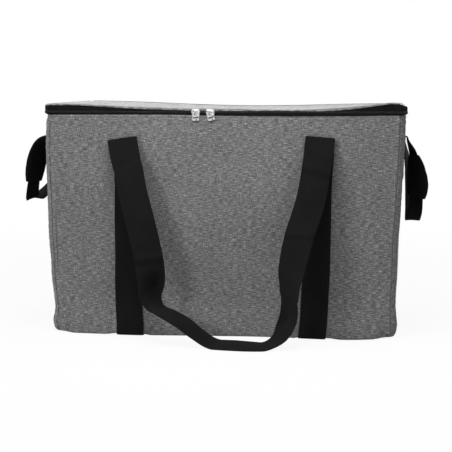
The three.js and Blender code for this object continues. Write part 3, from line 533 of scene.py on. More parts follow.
# Each finish with its material and its slot
FINISHES = {
    "cloth": (heather_cloth(), "outer_fabric"),
    "webbing": (black_webbing("strap_webbing", 0.024, 0.0032, 0.0011, 0.0094), "webbing"),
    "tape": (black_webbing("zip_tape_twill", 0.0012, 0.0009, 0.002, 0.0085), "zip_tape"),
    "coil": (coil_nylon(), "zip_coil"),
    "metal": (bright_metal(), "metal"),
    "foil": (foil_film(), "foil_liner"),
    "foam": (white_foam(), "foam"),
    "black_thread": (thread("black_thread", 0.0015, 0.007), "webbing"),
    "grey_thread": (thread("grey_thread", 0.15, 0.36), "outer_fabric"),
}


# The wall of the bag, sagged

def crown_at(z):
    share = np.clip(z / PANEL_HEIGHT, 0, 1)
    return 4 * share * (1 - share)


def half_sizes(z):
    """How far the middles of the flanks and of the faces are from the bag's axis, by height."""
    share, waist = np.clip(z / PANEL_HEIGHT, 0, 1), bump(z, WAIST_HEIGHT, WAIST_SPREAD)
    width = (BASE_WIDTH + (TOP_WIDTH - BASE_WIDTH) * share) / 2 - WAIST_WIDTH_LOSS * waist
    depth = (BASE_DEPTH + (TOP_DEPTH - BASE_DEPTH) * share) / 2
    return width, depth - WAIST_DEPTH_LOSS * waist - FACE_CROWN * crown_at(z)


FACE_RUN = TOP_WIDTH - 2 * CORNER_RADIUS
FLANK_RUN = TOP_DEPTH - 2 * CORNER_RADIUS
CORNER_RUN = CORNER_RADIUS * np.pi / 2
STOPS = np.cumsum([0, *(FACE_RUN, CORNER_RUN, FLANK_RUN, CORNER_RUN) * 2])
STOP_PLACES = np.array([*(side + share for side in range(4) for share in (0, FLAT_SHARE)), 4])
ROUND = STOPS[-1]


def run_of(place):
    """Length round the bag at a place, from the left end of the front."""
    lap = np.floor(place / 4)
    return np.interp(place - 4 * lap, STOP_PLACES, STOPS) + lap * ROUND


def place_at(run):
    lap = np.floor(run / ROUND)
    return np.interp(run - ROUND * lap, STOPS, STOP_PLACES) + 4 * lap


def run_gap(place, to):
    """Signed length round the bag between two places, the short way."""
    gap = run_of(np.mod(place, 4)) - run_of(to)
    return gap - ROUND * np.round(gap / ROUND)


def corner_place(side, angle):
    """The place in the corner after a side, by the angle turned there."""
    return side + FLAT_SHARE + (1 - FLAT_SHARE) * angle / 90


SEAM_PLACES = [corner_place(side, angle) for side in range(4)
               for angle in (SEAM_ANGLE, 90 - SEAM_ANGLE)]


def seam_distance(place):
    """Signed length to the nearest side seam."""
    best = np.full(np.shape(place), 1e3)
    for seam in SEAM_PLACES:
        gap = run_gap(place, seam)
        best = np.where(np.abs(gap) < np.abs(best), gap, best)
    return best


def strip_cover(side, u):
    """1 on the webbing that is sewn to a side, falling to 0 beside it."""
    spacing, width = ((STRAP_SPACING, STRAP_WIDTH), (GRAB_SPACING, GRAB_WIDTH))[side % 2]
    return 1 - smooth(2.0, 14.0, np.abs(np.abs(u) - spacing / 2) - width / 2)


def sag(side, u, place, z, fine):
    """How far the fabric stands out from the CAD wall: dents, seams, hem and belly."""
    run, below = run_of(place), PANEL_HEIGHT - z
    cover = np.where(side % 2 == 0, strip_cover(0, u), strip_cover(1, u))
    free = 1 - STRAP_HOLD * cover * smooth(20, 60, z)
    soft = ripples(run, z, DENTS) * smooth(0, 60, below) * free
    belly = (side % 2 == 0) * (table(u, BELLY) * bump(z, BELLY_HEIGHT, BELLY_SPREAD)
                               - HOLLOW * bump(z, HOLLOW_HEIGHT, HOLLOW_SPREAD))
    if not fine:
        return soft + belly
    gap = seam_distance(place)
    near_seam = np.exp(-np.abs(gap) / PUCKER_REACH) * PUCKER_HEIGHT * smooth(0, 10, below)
    crease = 0.6 * ripples(run, z, CREASES) * smooth(0, 60, below) * free
    pucker = ripples(gap * 0.6, z, PUCKERS) * near_seam
    seam, hem = ridges(np.abs(gap), SEAM_RIDGES), ridges(z, HEM_RIDGES)
    return soft + crease + pucker + seam + belly + hem


def corner_shift(side, u, z):
    """How far a corner of the bag is moved outwards along X."""
    at_right = np.where(side == FRONT, u > 0, np.where(side == BACK, u < 0, side == RIGHT))
    return np.where(at_right, table(z, RIGHT_OUT), table(z, LEFT_OUT))


def wall(place, z, d=0.0, fine=True):
    """Points on the wall at places round the bag, at heights z and depths d in from its face."""
    place, z, d = np.broadcast_arrays(*(np.asarray(value, float) for value in (place, z, d)))
    side = np.floor(place).astype(int) % 4
    share = place - np.floor(place)
    is_face, is_flat = side % 2 == 0, share <= FLAT_SHARE
    width, depth = half_sizes(z)
    crown = np.where(is_face, FACE_CROWN, SIDE_CROWN) * crown_at(z)
    reach = np.where(is_face, width, depth) - CORNER_RADIUS
    stand = np.where(is_face, depth, width)
    flat = np.clip(2 * share / FLAT_SHARE - 1, -1, 1)
    turn = np.radians(90 * np.clip(share - FLAT_SHARE, 0, 1) / (1 - FLAT_SHARE))
    shift = corner_shift(side, np.where(is_flat, flat, 1.0), z)
    lift = sag(side, flat * reach, place, z, fine) - d
    # The shift of a corner moves a face's ends along it, and a flank's ends outwards
    ends = np.where(side == RIGHT, 0.85, 0.0)
    ends = ends + (1 - ends) * smooth(0.55, 0.95, np.abs(flat))
    along, out = np.where(is_face, shift, 0.0), np.where(is_face, 0.0, shift)
    radius = CORNER_RADIUS + lift
    u = np.where(is_flat, flat * reach + flat * along, reach + along + radius * np.sin(turn))
    w = np.where(is_flat, stand + out * ends + crown * (1 - flat ** 2) + lift,
                 stand + out - CORNER_RADIUS + radius * np.cos(turn))
    x, y = (ALONG[side, axis] * u + OUTWARD[side, axis] * w for axis in (0, 1))
    return np.stack([x, y, z], -1)


def on_side(side, u, z, d=0.0):
    """A point of a side's flat part, u along it from its middle."""
    u, z = np.broadcast_arrays(np.asarray(u, float), np.asarray(z, float))
    reach = half_sizes(z)[side % 2] - CORNER_RADIUS
    if side % 2 == 0:
        reach = reach + corner_shift(np.full(u.shape, side), np.sign(u), z)
    return wall(side + FLAT_SHARE * (1 + u / reach) / 2, z, d)


def columns(step, from_place=0.0, to_place=4.0):
    """Places round the bag with about one step between them, closer at the seams."""
    places = []
    for side in range(-1, 5):
        count = int(round((FACE_RUN, FLANK_RUN)[side % 2] / step))
        places.extend(side + FLAT_SHARE * np.arange(count) / count)
        places.extend(corner_place(side, angle) for angle in CORNER_ANGLES)
    inside = [p for p in places if from_place + 1e-4 < p < to_place - 1e-4]
    return np.array([from_place, *inside, to_place])


def foot_at(place):
    """Height of the fabric's lowest line, which lies on the floor or on the webbing below it."""
    side = np.floor(place).astype(int) % 4
    share = np.clip(2 * (place - np.floor(place)) / FLAT_SHARE - 1, -1, 1)
    cover = strip_cover(0, share * (BASE_WIDTH / 2 - CORNER_RADIUS)) * (side % 2 == 0)
    return FOOT + (FOOT_OVER_STRAP - FOOT) * cover


def corner_nearness(place, spread):
    """1 in the middle of a corner of the bag, falling to 0 along the sides over a length."""
    half = CORNER_RUN / 2
    return sum(1 - smooth(half, half + spread, np.abs(run_gap(place, corner_place(side, 45))))
               for side in range(4))


def corner_push(place):
    """How far the zip band stands out at the corners, where its tape folds."""
    turn = np.clip((np.mod(place, 1) - FLAT_SHARE) / (1 - FLAT_SHARE), 0, 1)
    return CORNER_PUSH * np.sin(np.pi * turn) ** 0.8


def tuck_at(place, z):
    """How far the corners of the wall are drawn in just below the zip."""
    return CORNER_TUCK * corner_nearness(place, 4) * smooth(PANEL_HEIGHT - 9, PANEL_HEIGHT - 4, z)


def wall_rows(place, top, d):
    """The outer fabric from under the bag, round the bottom edge and up the wall."""
    near = corner_nearness(place, 26)[:, None]
    foot = foot_at(place)[:, None] + CORNER_LIFT * near
    angles = np.radians([90, 80, 70, 60, 50, 40, 30, 20, 10])
    tall, wide = ROLL + (CORNER_TALL - ROLL) * near, ROLL + (CORNER_WIDE - ROLL) * near
    up = np.concatenate([np.linspace(0, 0.94, 68), np.linspace(0.944, 1, 20)])
    high_z = foot + tall + (top - foot - tall) * up
    z = np.concatenate([foot, foot + tall * (1 - np.sin(angles)), high_z], 1)
    under = wide + np.minimum(UNDER, CORNER_RADIUS - 2.5 - wide)
    low = np.concatenate([under, wide * (1 - np.cos(angles))], 1)
    lean = np.concatenate([np.clip(1 - low / wide, 0, 1), np.ones_like(high_z)], 1)
    inset = np.concatenate([low, tuck_at(place[:, None], high_z)], 1)
    points = wall(place[:, None], z, inset + d * lean)
    points[..., 2] = z + d * np.sqrt(1 - lean ** 2)
    return points, z


def wall_sheet(name, finish, body, nodes, place, outer, inner, v, closed=False):
    """A plate between two grids of points that follow the wall, with a column for each place."""
    runs, v = run_of(place), np.broadcast_to(v, outer.shape[:2])
    if closed:
        runs, v = np.append(runs, ROUND), np.concatenate([v, v[:1]])
    build = Build()
    build.sheet(outer, inner, runs[:, None], v, closed)
    return piece(name, build, finish, body, nodes)


def body_shell():
    """The outer fabric of the four walls, one sewn shell that carries the seams at its corners."""
    place = columns(8.0)[:-1]
    x, y, _ = wall(place, PANEL_HEIGHT).T
    hinge_top = table(x, LID_REAR_TOP) - LID_LIP - 0.6
    front_top = PANEL_HEIGHT - table(x, HEM_DIP) * (y < 0)
    at_back = smooth(corner_place(RIGHT, 80), corner_place(RIGHT, 90), place)
    at_back = at_back * (1 - smooth(corner_place(BACK, 0), corner_place(BACK, 10), place))
    top = (front_top + (hinge_top - front_top) * at_back)[:, None]
    (outer, z), (inner, _) = (wall_rows(place, top, d) for d in (0.0, FABRIC))
    # The rear edge gives way to the left end of the lid's edge, which folds down on it when open
    give = 1.3 * (at_back * bump(x, -260, 54))[:, None] * smooth(372, 377, z)
    outer[..., 1] -= give
    inner[..., 1] -= give
    nodes = ("front_panel", "right_side_panel", "back_panel", "left_side_panel")
    wall_sheet("body_shell", "cloth", "body", nodes, place, outer, inner, z, closed=True)


def fan_surface(build, rings, flip=False):
    """Rings of points, each inside the one before, closed in the middle. UVs are the plan."""
    count = len(rings[0])
    rings = [*rings, np.tile(rings[-1].mean(0), (count, 1))]
    index = [build.add_points(ring) for ring in rings[:-1]]
    index.append(np.full(count, build.add_points(rings[-1][0])))
    for row in range(len(rings) - 1):
        for i in range(count):
            k = (i + 1) % count
            corners = [(row, i), (row, k), (row + 1, k), (row + 1, i)]
            if row == len(rings) - 2:
                corners.pop()
            if flip:
                corners.reverse()
            build.faces.append(tuple(index[a][b] for a, b in corners))
            build.uvs.append(tuple(tuple(rings[a][b, :2]) for a, b in corners))
    return index[0], rings[0]


def join_rings(build, lower, upper):
    """Faces between two rings round the bag, each given by its indices and its points."""
    (low, low_points), (high, high_points) = lower, upper
    runs = run_along(np.concatenate([low_points, low_points[:1]]))
    tall = np.linalg.norm(high_points - low_points, axis=1)
    for i in range(len(low)):
        k = (i + 1) % len(low)
        build.faces.append((low[i], low[k], high[k], high[i]))
        a, b = runs[i:i + 2]
        build.uvs.append(((a, 0), (b, 0), (b, tall[i]), (a, tall[i])))


def slab(name, finish, body, nodes, outline, top_at, thickness):
    """A flat layer: an outline and rings inside it, with a top and an underside."""
    build = Build()
    tops = [outline * (scale, scale, 1.0) for scale in SCALES]
    for ring in tops:
        ring[:, 2] = top_at(ring[:, 0], ring[:, 1])
    upper = fan_surface(build, tops)
    lower = fan_surface(build, [ring - (0, 0, thickness) for ring in tops], flip=True)
    join_rings(build, lower, upper)
    piece(name, build, finish, body, nodes)


def base_parts():
    """The cloth and foam of the base, and the webbing that runs below it."""
    place = columns(10.0)[:-1]

    def cloth_top(x, y):
        cover = strip_cover(0, x * (STRAP_SPACING / (STRAP_SPACING - 4)))
        low = FOOT + BASE_CLOTH_RISE + (FOOT_OVER_STRAP - FOOT) * cover
        return low + 0.25 * np.sin(x / 23) * np.cos(y / 31) + FABRIC

    slab("base_cloth", "cloth", "body", ("base_panel",), wall(place, 8.0, BASE_CLOTH_INSET),
         cloth_top, FABRIC)
    slab("base_foam_board", "foam", "body", ("base_foam",),
         wall(place, BASE_FOAM_BOTTOM + 8, LINER_OUT + 2), lambda x, y: BASE_FOAM_TOP,
         BASE_FOAM_TOP - BASE_FOAM_BOTTOM - 0.6)
    ring = ring_across(STRAP_WIDTH, 8)
    reach = half_sizes(0.0)[1] - 8
    y = np.linspace(-reach, reach, 60)
    for name, towards in (("left", -1), ("right", 1)):
        middle = towards * STRAP_SPACING / 2 * 0.99
        rings = spatial(middle + ring[:, 0], y[:, None], 1.05 + ring[:, 1])
        strap(f"base_{name}_webbing", rings, y, ring, "body", (f"base_{name}_strap",))


# Layers inside the wall

def wall_layer(name, finish, nodes, place, low, high, depths, rows, closed=False, fine=True):
    """A layer of the body that follows the wall between two heights and two depths."""
    z = low + (high - low) * np.linspace(0, 1, rows)
    outer, inner = (wall(place[:, None], z, d, fine) for d in depths)
    wall_sheet(name, finish, "body", nodes, place, outer, inner, z, closed)


def lining():
    """Foam boards and foil of the walls, the binding of their rim and the backing of the hinge."""
    for side, name in enumerate(("front", "right", "back", "left")):
        place = columns(12.0, corner_place(side - 1, 45.6), corner_place(side, 44.4))
        wall_layer(f"{name}_foam_board", "foam", (f"{name}_foam",), place, BASE_FOAM_BOTTOM + 9,
                   FOAM_TOP, (FOAM_OUT + 2.4, FOAM_IN), 30, fine=False)
    place = columns(10.0)[:-1]
    z = np.linspace(LINER_FLOOR + 2, FOAM_TOP, 40)
    crinkle = ripples(run_of(place)[:, None], z, CRINKLES) * smooth(0, 18, FOAM_TOP - z)
    tuck = 3.0 * np.exp(-(z - LINER_FLOOR) / 5.0)
    depths = LINER_OUT + 0.3 + tuck, LINER_IN + 0.5 + tuck + 0.5 * np.abs(crinkle)
    outer, inner = (wall(place[:, None], z, d, False) for d in depths)
    wall_sheet("liner_walls", "foil", "body", ("inner_liner",), place, outer, inner, z, closed=True)
    slab("liner_floor", "foil", "body", (), wall(place, LINER_FLOOR + 2, LINER_IN + 2.2),
         lambda x, y: LINER_FLOOR + 1.5 + 0.5 * ripples(x, y, CRINKLES), 0.8)
    place = columns(8.0)[:-1]
    wall_layer("rim_edging", "tape", ("rim_binding",), place, RIM_BOTTOM - 5, RIM_TOP,
               (LINER_IN + 0.8, LINER_IN + 2.0), 8, closed=True)
    wall_layer("rim_cap", "tape", (), place, RIM_BOTTOM, RIM_TOP + 0.6,
               (TAPE_IN + 0.3, LINER_IN + 2.0), 4, closed=True)
    place = columns(12.0, corner_place(RIGHT, 61), corner_place(BACK, 29))
    high = table(wall(place, PANEL_HEIGHT)[:, :1], LID_REAR_TOP) - LID_LIP - 0.8
    wall_layer("hinge_backing", "tape", ("lid_hinge_tape",), place, RIM_BOTTOM, high,
               (TAPE_OUT, TAPE_IN), 8)


# Lid

def lid_share(y):
    """0 at the lid's front edge, 1 at its rear edge."""
    return np.clip((y + TOP_DEPTH / 2) / TOP_DEPTH, 0, 1)


def corner_drop(x, y):
    """How far the lid's soft corners hang below its edges, the right front one furthest."""
    def near(value, half, length):
        return np.clip((value - (half - length)) / length, 0, 1)

    half_x, half_y = TOP_WIDTH / 2, TOP_DEPTH / 2
    right = near(x, half_x, 20) ** 1.5 * near(-y, half_y, half_y - 35) ** 1.3
    others = near(np.abs(x), half_x, 14) * near(np.abs(y), half_y, 14)
    return RIGHT_CORNER_DROP * right + CORNER_DROP * others * (1 - right)


def lid_top_at(x, y):
    """Height of the lid's fabric before its edge is rounded."""
    t, front, rear = lid_share(y), table(x, LID_FRONT_TOP), table(x, LID_REAR_TOP)
    inner = 4 * t * (1 - t) * np.clip(1 - (x / (TOP_WIDTH / 2)) ** 2, 0, 1)
    height = front + (rear - front) * t
    soft = ripples(x, y, LID_DENTS) + ripples(x, y, LID_CREASES)
    return height - LID_MIDDLE_SAG * inner + soft * np.minimum(1, 3 * inner) - corner_drop(x, y)


def hinge_share(place):
    """1 along the hinge, 0 along the zip."""
    start, end = corner_place(RIGHT, 90 - ZIP_END_ANGLE), corner_place(BACK, ZIP_END_ANGLE)
    return smooth(start, start + 0.03, place) * (1 - smooth(end - 0.03, end, place))


def lid_edge_low(place):
    """Height of the lower edge of the lid's grey fabric, round the bag."""
    x, y, _ = wall(place, PANEL_HEIGHT).T
    front, rear = table(x, BAND_TOP), table(x, LID_REAR_TOP) - LID_SKIRT
    low = front + (rear - front) * lid_share(y) - 0.8 * corner_drop(x, y)
    return low + (lid_top_at(x, y) - LID_LIP - low) * hinge_share(np.mod(place, 4))


def lid_shell():
    """The lid's grey fabric: its top, its rounded edge and the narrow skirt above the zip."""
    place = columns(8.0)[:-1]
    low = lid_edge_low(place)

    def on_lid(points, *drops):
        """The points at the height of the lid's top, less some drops."""
        points[:, 2] = lid_top_at(points[:, 0], points[:, 1])
        for drop in drops:
            points[:, 2] -= drop
        return points

    def ring(inset, *drops):
        return on_lid(wall(place, PANEL_HEIGHT, inset - 0.3 * corner_push(place)), *drops)

    radii = np.clip(ring(0)[:, 2] - low, 0.9, LID_EDGE_ROUND)
    insets = (5.0, 7.5, 11.0, 15.0)
    start = ring(insets[-1])
    build, surfaces, skirts = Build(), [], []
    for thick in (0.0, FABRIC):
        rings = []
        for angle in np.radians([0, 22, 45, 67, 90]):
            rings.append(ring(radii * (1 - np.cos(angle)) + thick * np.cos(angle),
                              radii * (1 - np.sin(angle)), thick * np.sin(angle)))
        rings += [ring(inset, thick) for inset in insets]
        rings += [on_lid(start * (scale, scale, 1.0), thick) for scale in SCALES[1:]]
        surfaces.append(rings)
    skirt_low = np.minimum(low, surfaces[0][0][:, 2] - 0.2)
    upper, under = (fan_surface(build, rings, flip) for rings, flip in zip(surfaces, (False, True)))
    for rings in surfaces:
        edge = rings[0].copy()
        edge[:, 2] = skirt_low
        skirts.append((build.add_points(edge), edge))
    join_rings(build, skirts[0], upper)
    join_rings(build, skirts[1], skirts[0])
    join_rings(build, under, skirts[1])
    piece("lid_shell", build, "cloth", "lid", ("lid_cover",))


def lid_inside():
    """The foam board, the foil and the edging below the lid's fabric."""
    place = columns(10.0)[:-1]
    outline = wall(place, PANEL_HEIGHT, LID_INNER_INSET)
    slab("lid_foam_board", "foam", "lid", ("lid_foam",), outline,
         lambda x, y: lid_top_at(x, y) - 1.6, LID_FOAM - 0.6)
    slab("lid_foil", "foil", "lid", ("lid_liner",), outline * (0.992, 0.986, 1),
         lambda x, y: lid_top_at(x, y) - 8.4 + 0.5 * ripples(x, y, CRINKLES), 0.8)
    share = np.linspace(0, 1, 5)
    outer = wall(place[:, None], PANEL_HEIGHT, 3.4 + 9.0 * share)
    outer[..., 2] = lid_top_at(outer[..., 0], outer[..., 1]) - 9.9 - 0.9 * np.sin(np.pi * share)
    wall_sheet("lid_edging", "tape", "lid", (), place, outer, outer + (0, 0, 0.8), 9.0 * share,
               closed=True)


def hinge_cloth():
    """The grey fabric that runs on from the back panel into the lid, over the hinge."""
    place = columns(8.0, corner_place(RIGHT, 66), corner_place(BACK, 24))
    crest = table(wall(place, PANEL_HEIGHT)[:, 0], LID_REAR_TOP)
    depths = -HINGE_STAND, 0.55 - HINGE_STAND
    outer, inner = (wall(place[:, None], PANEL_HEIGHT, d) for d in depths)
    outer[..., 2] = crest[:, None] - HINGE_BELOW
    inner[..., 2] = outer[..., 2] - 0.5 * smooth(3.0, -0.6, HINGE_BELOW)
    obj = wall_sheet("lid_hinge_cloth", "cloth", None, (), place, outer, inner,
                     crest.mean() - HINGE_BELOW)
    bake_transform(obj)


# Zip

ZIP_START = corner_place(BACK - 4, ZIP_END_ANGLE)
ZIP_END = corner_place(RIGHT, 90 - ZIP_END_ANGLE)


def parting(points):
    """How far the two halves of the zip stand apart between the sliders, from 0 to 1."""
    x = np.where(points[:, 1] < -TOP_DEPTH / 2 + 25, points[:, 0], 1e3)
    middle, half = sum(SLIDER_X) / 2, (SLIDER_X[1] - SLIDER_X[0]) / 2 + 1.5
    return np.clip(1 - ((x - middle) / half) ** 2, 0, 1)


def zip_tapes():
    """The tape of both halves, slightly puffed between its coil and its seam."""
    place = columns(6.0, ZIP_START, ZIP_END)
    push, share = -1.2 * corner_push(place)[:, None], np.linspace(0, 1, 7)
    lid_low = lid_edge_low(place)[:, None]
    for body, low, high, puff in (
            ("body", RIM_BOTTOM + 4.0, ZIP_HEIGHT - 1.5, 0.6),
            ("lid", ZIP_HEIGHT + 1.7, np.maximum(lid_low + 0.9, ZIP_HEIGHT + 3.2), 1)):
        z = low + (high - low) * share
        free = smooth(PANEL_HEIGHT - 0.5, PANEL_HEIGHT + 2.5, z) if body == "body" else 1.0
        belly = 0.45 * np.sin(np.pi * share) * puff
        shift = push * free + tuck_at(place[:, None], z) * (1 - free) - belly
        outer, inner = (wall(place[:, None], np.minimum(z, PANEL_HEIGHT), d + shift)
                        for d in (TAPE_OUT, TAPE_IN))
        outer[..., 2] = inner[..., 2] = z
        wall_sheet(f"{body}_tape", "tape", body, (f"{body}_zip_tape",), place, outer, inner, z)


def coil(body, middle, phase, rise):
    """A helix of nylon that runs along the edge of its tape, and rises between the sliders."""
    sides, turn_steps = 5, 9
    runs = np.arange(run_of(ZIP_START), run_of(ZIP_END), COIL_PITCH / turn_steps)
    place = place_at(runs)
    centre = wall(place, PANEL_HEIGHT, (TAPE_OUT + TAPE_IN) / 2 - 1.2 * corner_push(place))
    centre[:, 2] = middle + parting(centre) * rise
    away = wall(place, PANEL_HEIGHT, TAPE_OUT - 5) - wall(place, PANEL_HEIGHT, TAPE_OUT)
    away = unit(away * (1, 1, 0))
    turn = 2 * np.pi * runs / COIL_PITCH + phase
    path = centre + away * (COIL_RADIUS[0] * np.cos(turn))[:, None]
    path[:, 2] += COIL_RADIUS[1] * np.sin(turn)
    along = unit(np.gradient(path, axis=0))
    normal = path - centre
    normal = unit(normal - along * np.sum(normal * along, 1)[:, None])
    rings = path[:, None] + COIL_WIRE * around(normal, np.cross(along, normal), sides)
    build = Build()
    build.tube(rings[:, ::-1], np.arange(sides + 1) * 0.5, runs[:, None])
    piece(f"{body}_coil", build, "coil", body, (f"{body}_zip_coil",), sharp=80)


# Sliders and pulls. Outlines are drawn x along the zip and y up from its middle, and stand out
# from the fabric towards the viewer.

# A slider's plates, each by the heights of its nose and tail, its length, its stands and its bevel
SLIDER_PLATES = ((10.8, 8.4, 14.0, *PLATE, 0.42),
                 (7.6, 5.6, 11.4, PLATE[1] - 0.3, PLATE[1] + 0.25, 0.2),
                 (9.6, 7.2, 13.0, *INNER_PLATE, 0.3))
WEDGE = np.array([(6.0, 0), (3.5, 0.45), (1.0, 0), (3.5, -0.45)])
FLANGE = np.array([(-4.2, -4.7), (4.2, -4.7), (4.2, -2.6), (-4.2, -2.6)])
BRIDGE_HALF, BRIDGE_FOOT, BRIDGE_RADIUS = 4.9, PLATE[1] - 0.3, 0.62
PULL_HALF, NECK_HALF, SHOULDER, PULL_END, PULL_CORNER = 6.0, 2.8, -2.8, -17.0, 1.7
SLOT_HALF, SLOT_RADIUS, SLOT_MARGIN = 2.95, 1.15, 5.0


def bezier(*points, count=10):
    """Points along a Bezier curve, without its last one."""
    t = np.linspace(0, 1, count, endpoint=False)[:, None]
    points = [np.asarray(point, float) for point in points]
    while len(points) > 1:
        points = [a + (b - a) * t for a, b in zip(points, points[1:])]
    return points[0]


def slider_outline(nose, tail, length, towards):
    """The outline of a slider's plate, from the heights of its nose and its tail."""
    half, nose, tail = length / 2, nose / 2, tail / 2
    back, waist, front = -half * 0.7, half * 0.2, half * 0.5
    upper = np.concatenate([
        bezier((-half, 0), (-half, tail), (back, tail)),
        bezier((back, tail), (-half * 0.1, tail), count=2),
        bezier((-half * 0.1, tail), (waist, tail), (waist, nose), (front, nose)),
        bezier((front, nose), (half * 0.95, nose), (half, 0))])
    return np.concatenate([upper, [[half, 0]], upper[:0:-1] * (1, -1)]) * (towards, 1)


def filled(outlines, low, high, bevel):
    """The points and faces of a plate with rounded edges. Outlines after the first are holes."""
    curve = bpy.data.curves.new("outline", "CURVE")
    curve.dimensions = "2D"
    curve.fill_mode = "BOTH"
    curve.extrude = ((high - low) / 2 - bevel) * MM
    curve.bevel_depth = bevel * MM
    curve.bevel_resolution = 3
    curve.offset = -bevel * MM
    for outline in outlines:
        spline = curve.splines.new("POLY")
        spline.points.add(len(outline) - 1)
        for point, (x, y) in zip(spline.points, outline):
            point.co = (x * MM, y * MM, 0, 1)
        spline.use_cyclic_u = True
    holder = link("outline", curve)
    bpy.context.view_layer.update()
    evaluated = holder.evaluated_get(bpy.context.evaluated_depsgraph_get())
    mesh = bpy.data.meshes.new_from_object(evaluated)
    bpy.data.objects.remove(holder)
    x, y, stand = (np.array([vertex.co[:] for vertex in mesh.vertices]) / MM).T
    points = np.stack([x, -stand - (low + high) / 2, y], -1)
    return points, [tuple(polygon.vertices) for polygon in mesh.polygons]


def ring_faces(rows, sides, closed=False):
    """Faces over rows of points, each row a ring."""
    return [(i * sides + j, i * sides + (j + 1) % sides,
             (i + 1) % rows * sides + (j + 1) % sides, (i + 1) % rows * sides + j)
            for i in range(rows if closed else rows - 1) for j in range(sides)]


def rod(path, radii, sides=14):
    """An oval bar through points, with a pair of radii for each."""
    along = unit(np.gradient(path, axis=0))
    first = unit(np.cross(along, (0.0, 0.0, 1.0)))
    second = np.cross(along, first)
    rings = path[:, None] + around(radii[:, :1] * first, radii[:, 1:] * second, sides)
    last = (len(path) - 1) * sides
    ends = [tuple(range(sides))[::-1], tuple(range(last, last + sides))]
    return rings.reshape(-1, 3), ring_faces(len(path), sides) + ends


def knuckle(inner, outer, length, sides=24, soft=0.18):
    """A short pipe along x with softened rims."""
    angle, half = 2 * np.pi * np.arange(sides) / sides, length / 2
    profile = [(-half, inner), (-half, outer - soft), (-half + soft, outer),
               (half - soft, outer), (half, outer - soft), (half, inner)]
    points = np.array([(x, -r * np.cos(a), r * np.sin(a)) for x, r in profile for a in angle])
    return points, [(a, d, c, b) for a, b, c, d in ring_faces(len(profile), sides, True)]


def metal_piece(name, parts, at, lean=0.0):
    """A metal part on its own body, leaned about the axis that points out of the front."""
    build = Build()
    for points, faces in parts:
        index = build.add_points(points)
        for face in faces:
            build.faces.append(tuple(index[i] for i in face))
            build.uvs.append(tuple((points[i][0], points[i][2] + points[i][1]) for i in face))
    moves = (Euler((0, lean, 0)).to_matrix().to_4x4(),
             Matrix.Translation([value * MM for value in at]))
    piece(f"{name}_metal", build, "metal", name, (name,), 35, moves)


def slider(name, x, towards):
    """Two plates joined by a wedge, a flange below the coils, and the bridge of the pull."""
    parts = [filled([slider_outline(*sizes, towards)], low, high, bevel)
             for *sizes, low, high, bevel in SLIDER_PLATES]
    wedge = (WEDGE * (towards, 1))[::-towards]
    parts.append(filled([wedge], INNER_PLATE[1] - 0.5, PLATE[0] + 0.5, 0.05))
    parts.append(filled([FLANGE], PLATE[0] - 1.1, PLATE[0] + 0.4, 0.15))
    t = np.linspace(-1, 1, 25)
    lift = (BAR_STAND - BRIDGE_FOOT) * (1 - np.abs(t) ** 4.5)
    radii = spatial(BRIDGE_RADIUS, 0.7 + 0.75 * np.abs(t) ** 3, 0)[:, :2]
    parts.append(rod(spatial(BRIDGE_HALF * t, -(BRIDGE_FOOT + lift), BAR_RISE), radii))
    metal_piece(name, parts, (x, -TOP_DEPTH / 2, ZIP_HEIGHT))


def pull(name, x, lean):
    """A flat tab that hangs on the bridge by its rolled knuckle, with a rimmed slot."""
    half, neck, low = PULL_HALF, NECK_HALF, PULL_END + PULL_CORNER
    high = SHOULDER - PULL_CORNER
    side = np.concatenate([
        bezier((neck, -0.9), (neck, SHOULDER + 0.4), count=2),
        bezier((neck, SHOULDER + 0.4), (neck + 0.3, SHOULDER), (half, SHOULDER), (half, high)),
        bezier((half, high), (half, low), count=2),
        bezier((half, low), (half, PULL_END), (half - PULL_CORNER, PULL_END))])
    outline = np.concatenate([side, side[::-1] * (-1, 1)])
    angles = np.linspace(-np.pi / 2, np.pi / 2, 9)
    right = np.stack([SLOT_HALF + SLOT_RADIUS * np.cos(angles), SLOT_RADIUS * np.sin(angles)], -1)
    slot, middle = np.concatenate([right, -right]), (0, PULL_END + SLOT_MARGIN)
    rim = [slot * scale + middle for scale in ((1.14, 1.5), (1.02, 1.06))]
    parts = [filled([outline, slot + middle], -0.65, 0.65, 0.28),
             knuckle(BAR_RADIUS + 0.2, BAR_RADIUS + 1.0, 6.0), filled(rim, 0.45, 0.95, 0.12)]
    metal_piece(name, parts, (x, -TOP_DEPTH / 2 - BAR_STAND, ZIP_HEIGHT + BAR_RISE), lean)


# Webbing

def ring_across(width, steps):
    """The section of a strap as (across, out) pairs, with rounded selvedges."""
    side = np.linspace(-1, 1, steps + 1)
    side = np.concatenate([[-1, -0.985], side[1:-1] * 0.97, [0.985, 1]])
    thick = np.sqrt(np.clip(1 - (np.clip(np.abs(side) - 0.955, 0, 1) / 0.045) ** 2, 0.0, 1))
    top = np.stack([side * width / 2, WEBBING / 2 * np.maximum(thick, 0.35)], -1)
    return np.concatenate([top, (top * (1, -1))[::-1]])


def strap(name, rings, along, ring, body, nodes):
    """Webbing through rings, with UVs across and along it."""
    across = ring[::-1, 0]
    build = Build()
    build.tube(rings[:, ::-1], np.append(across, across[0]), along[:, None])
    return piece(name, build, "webbing", body, nodes)


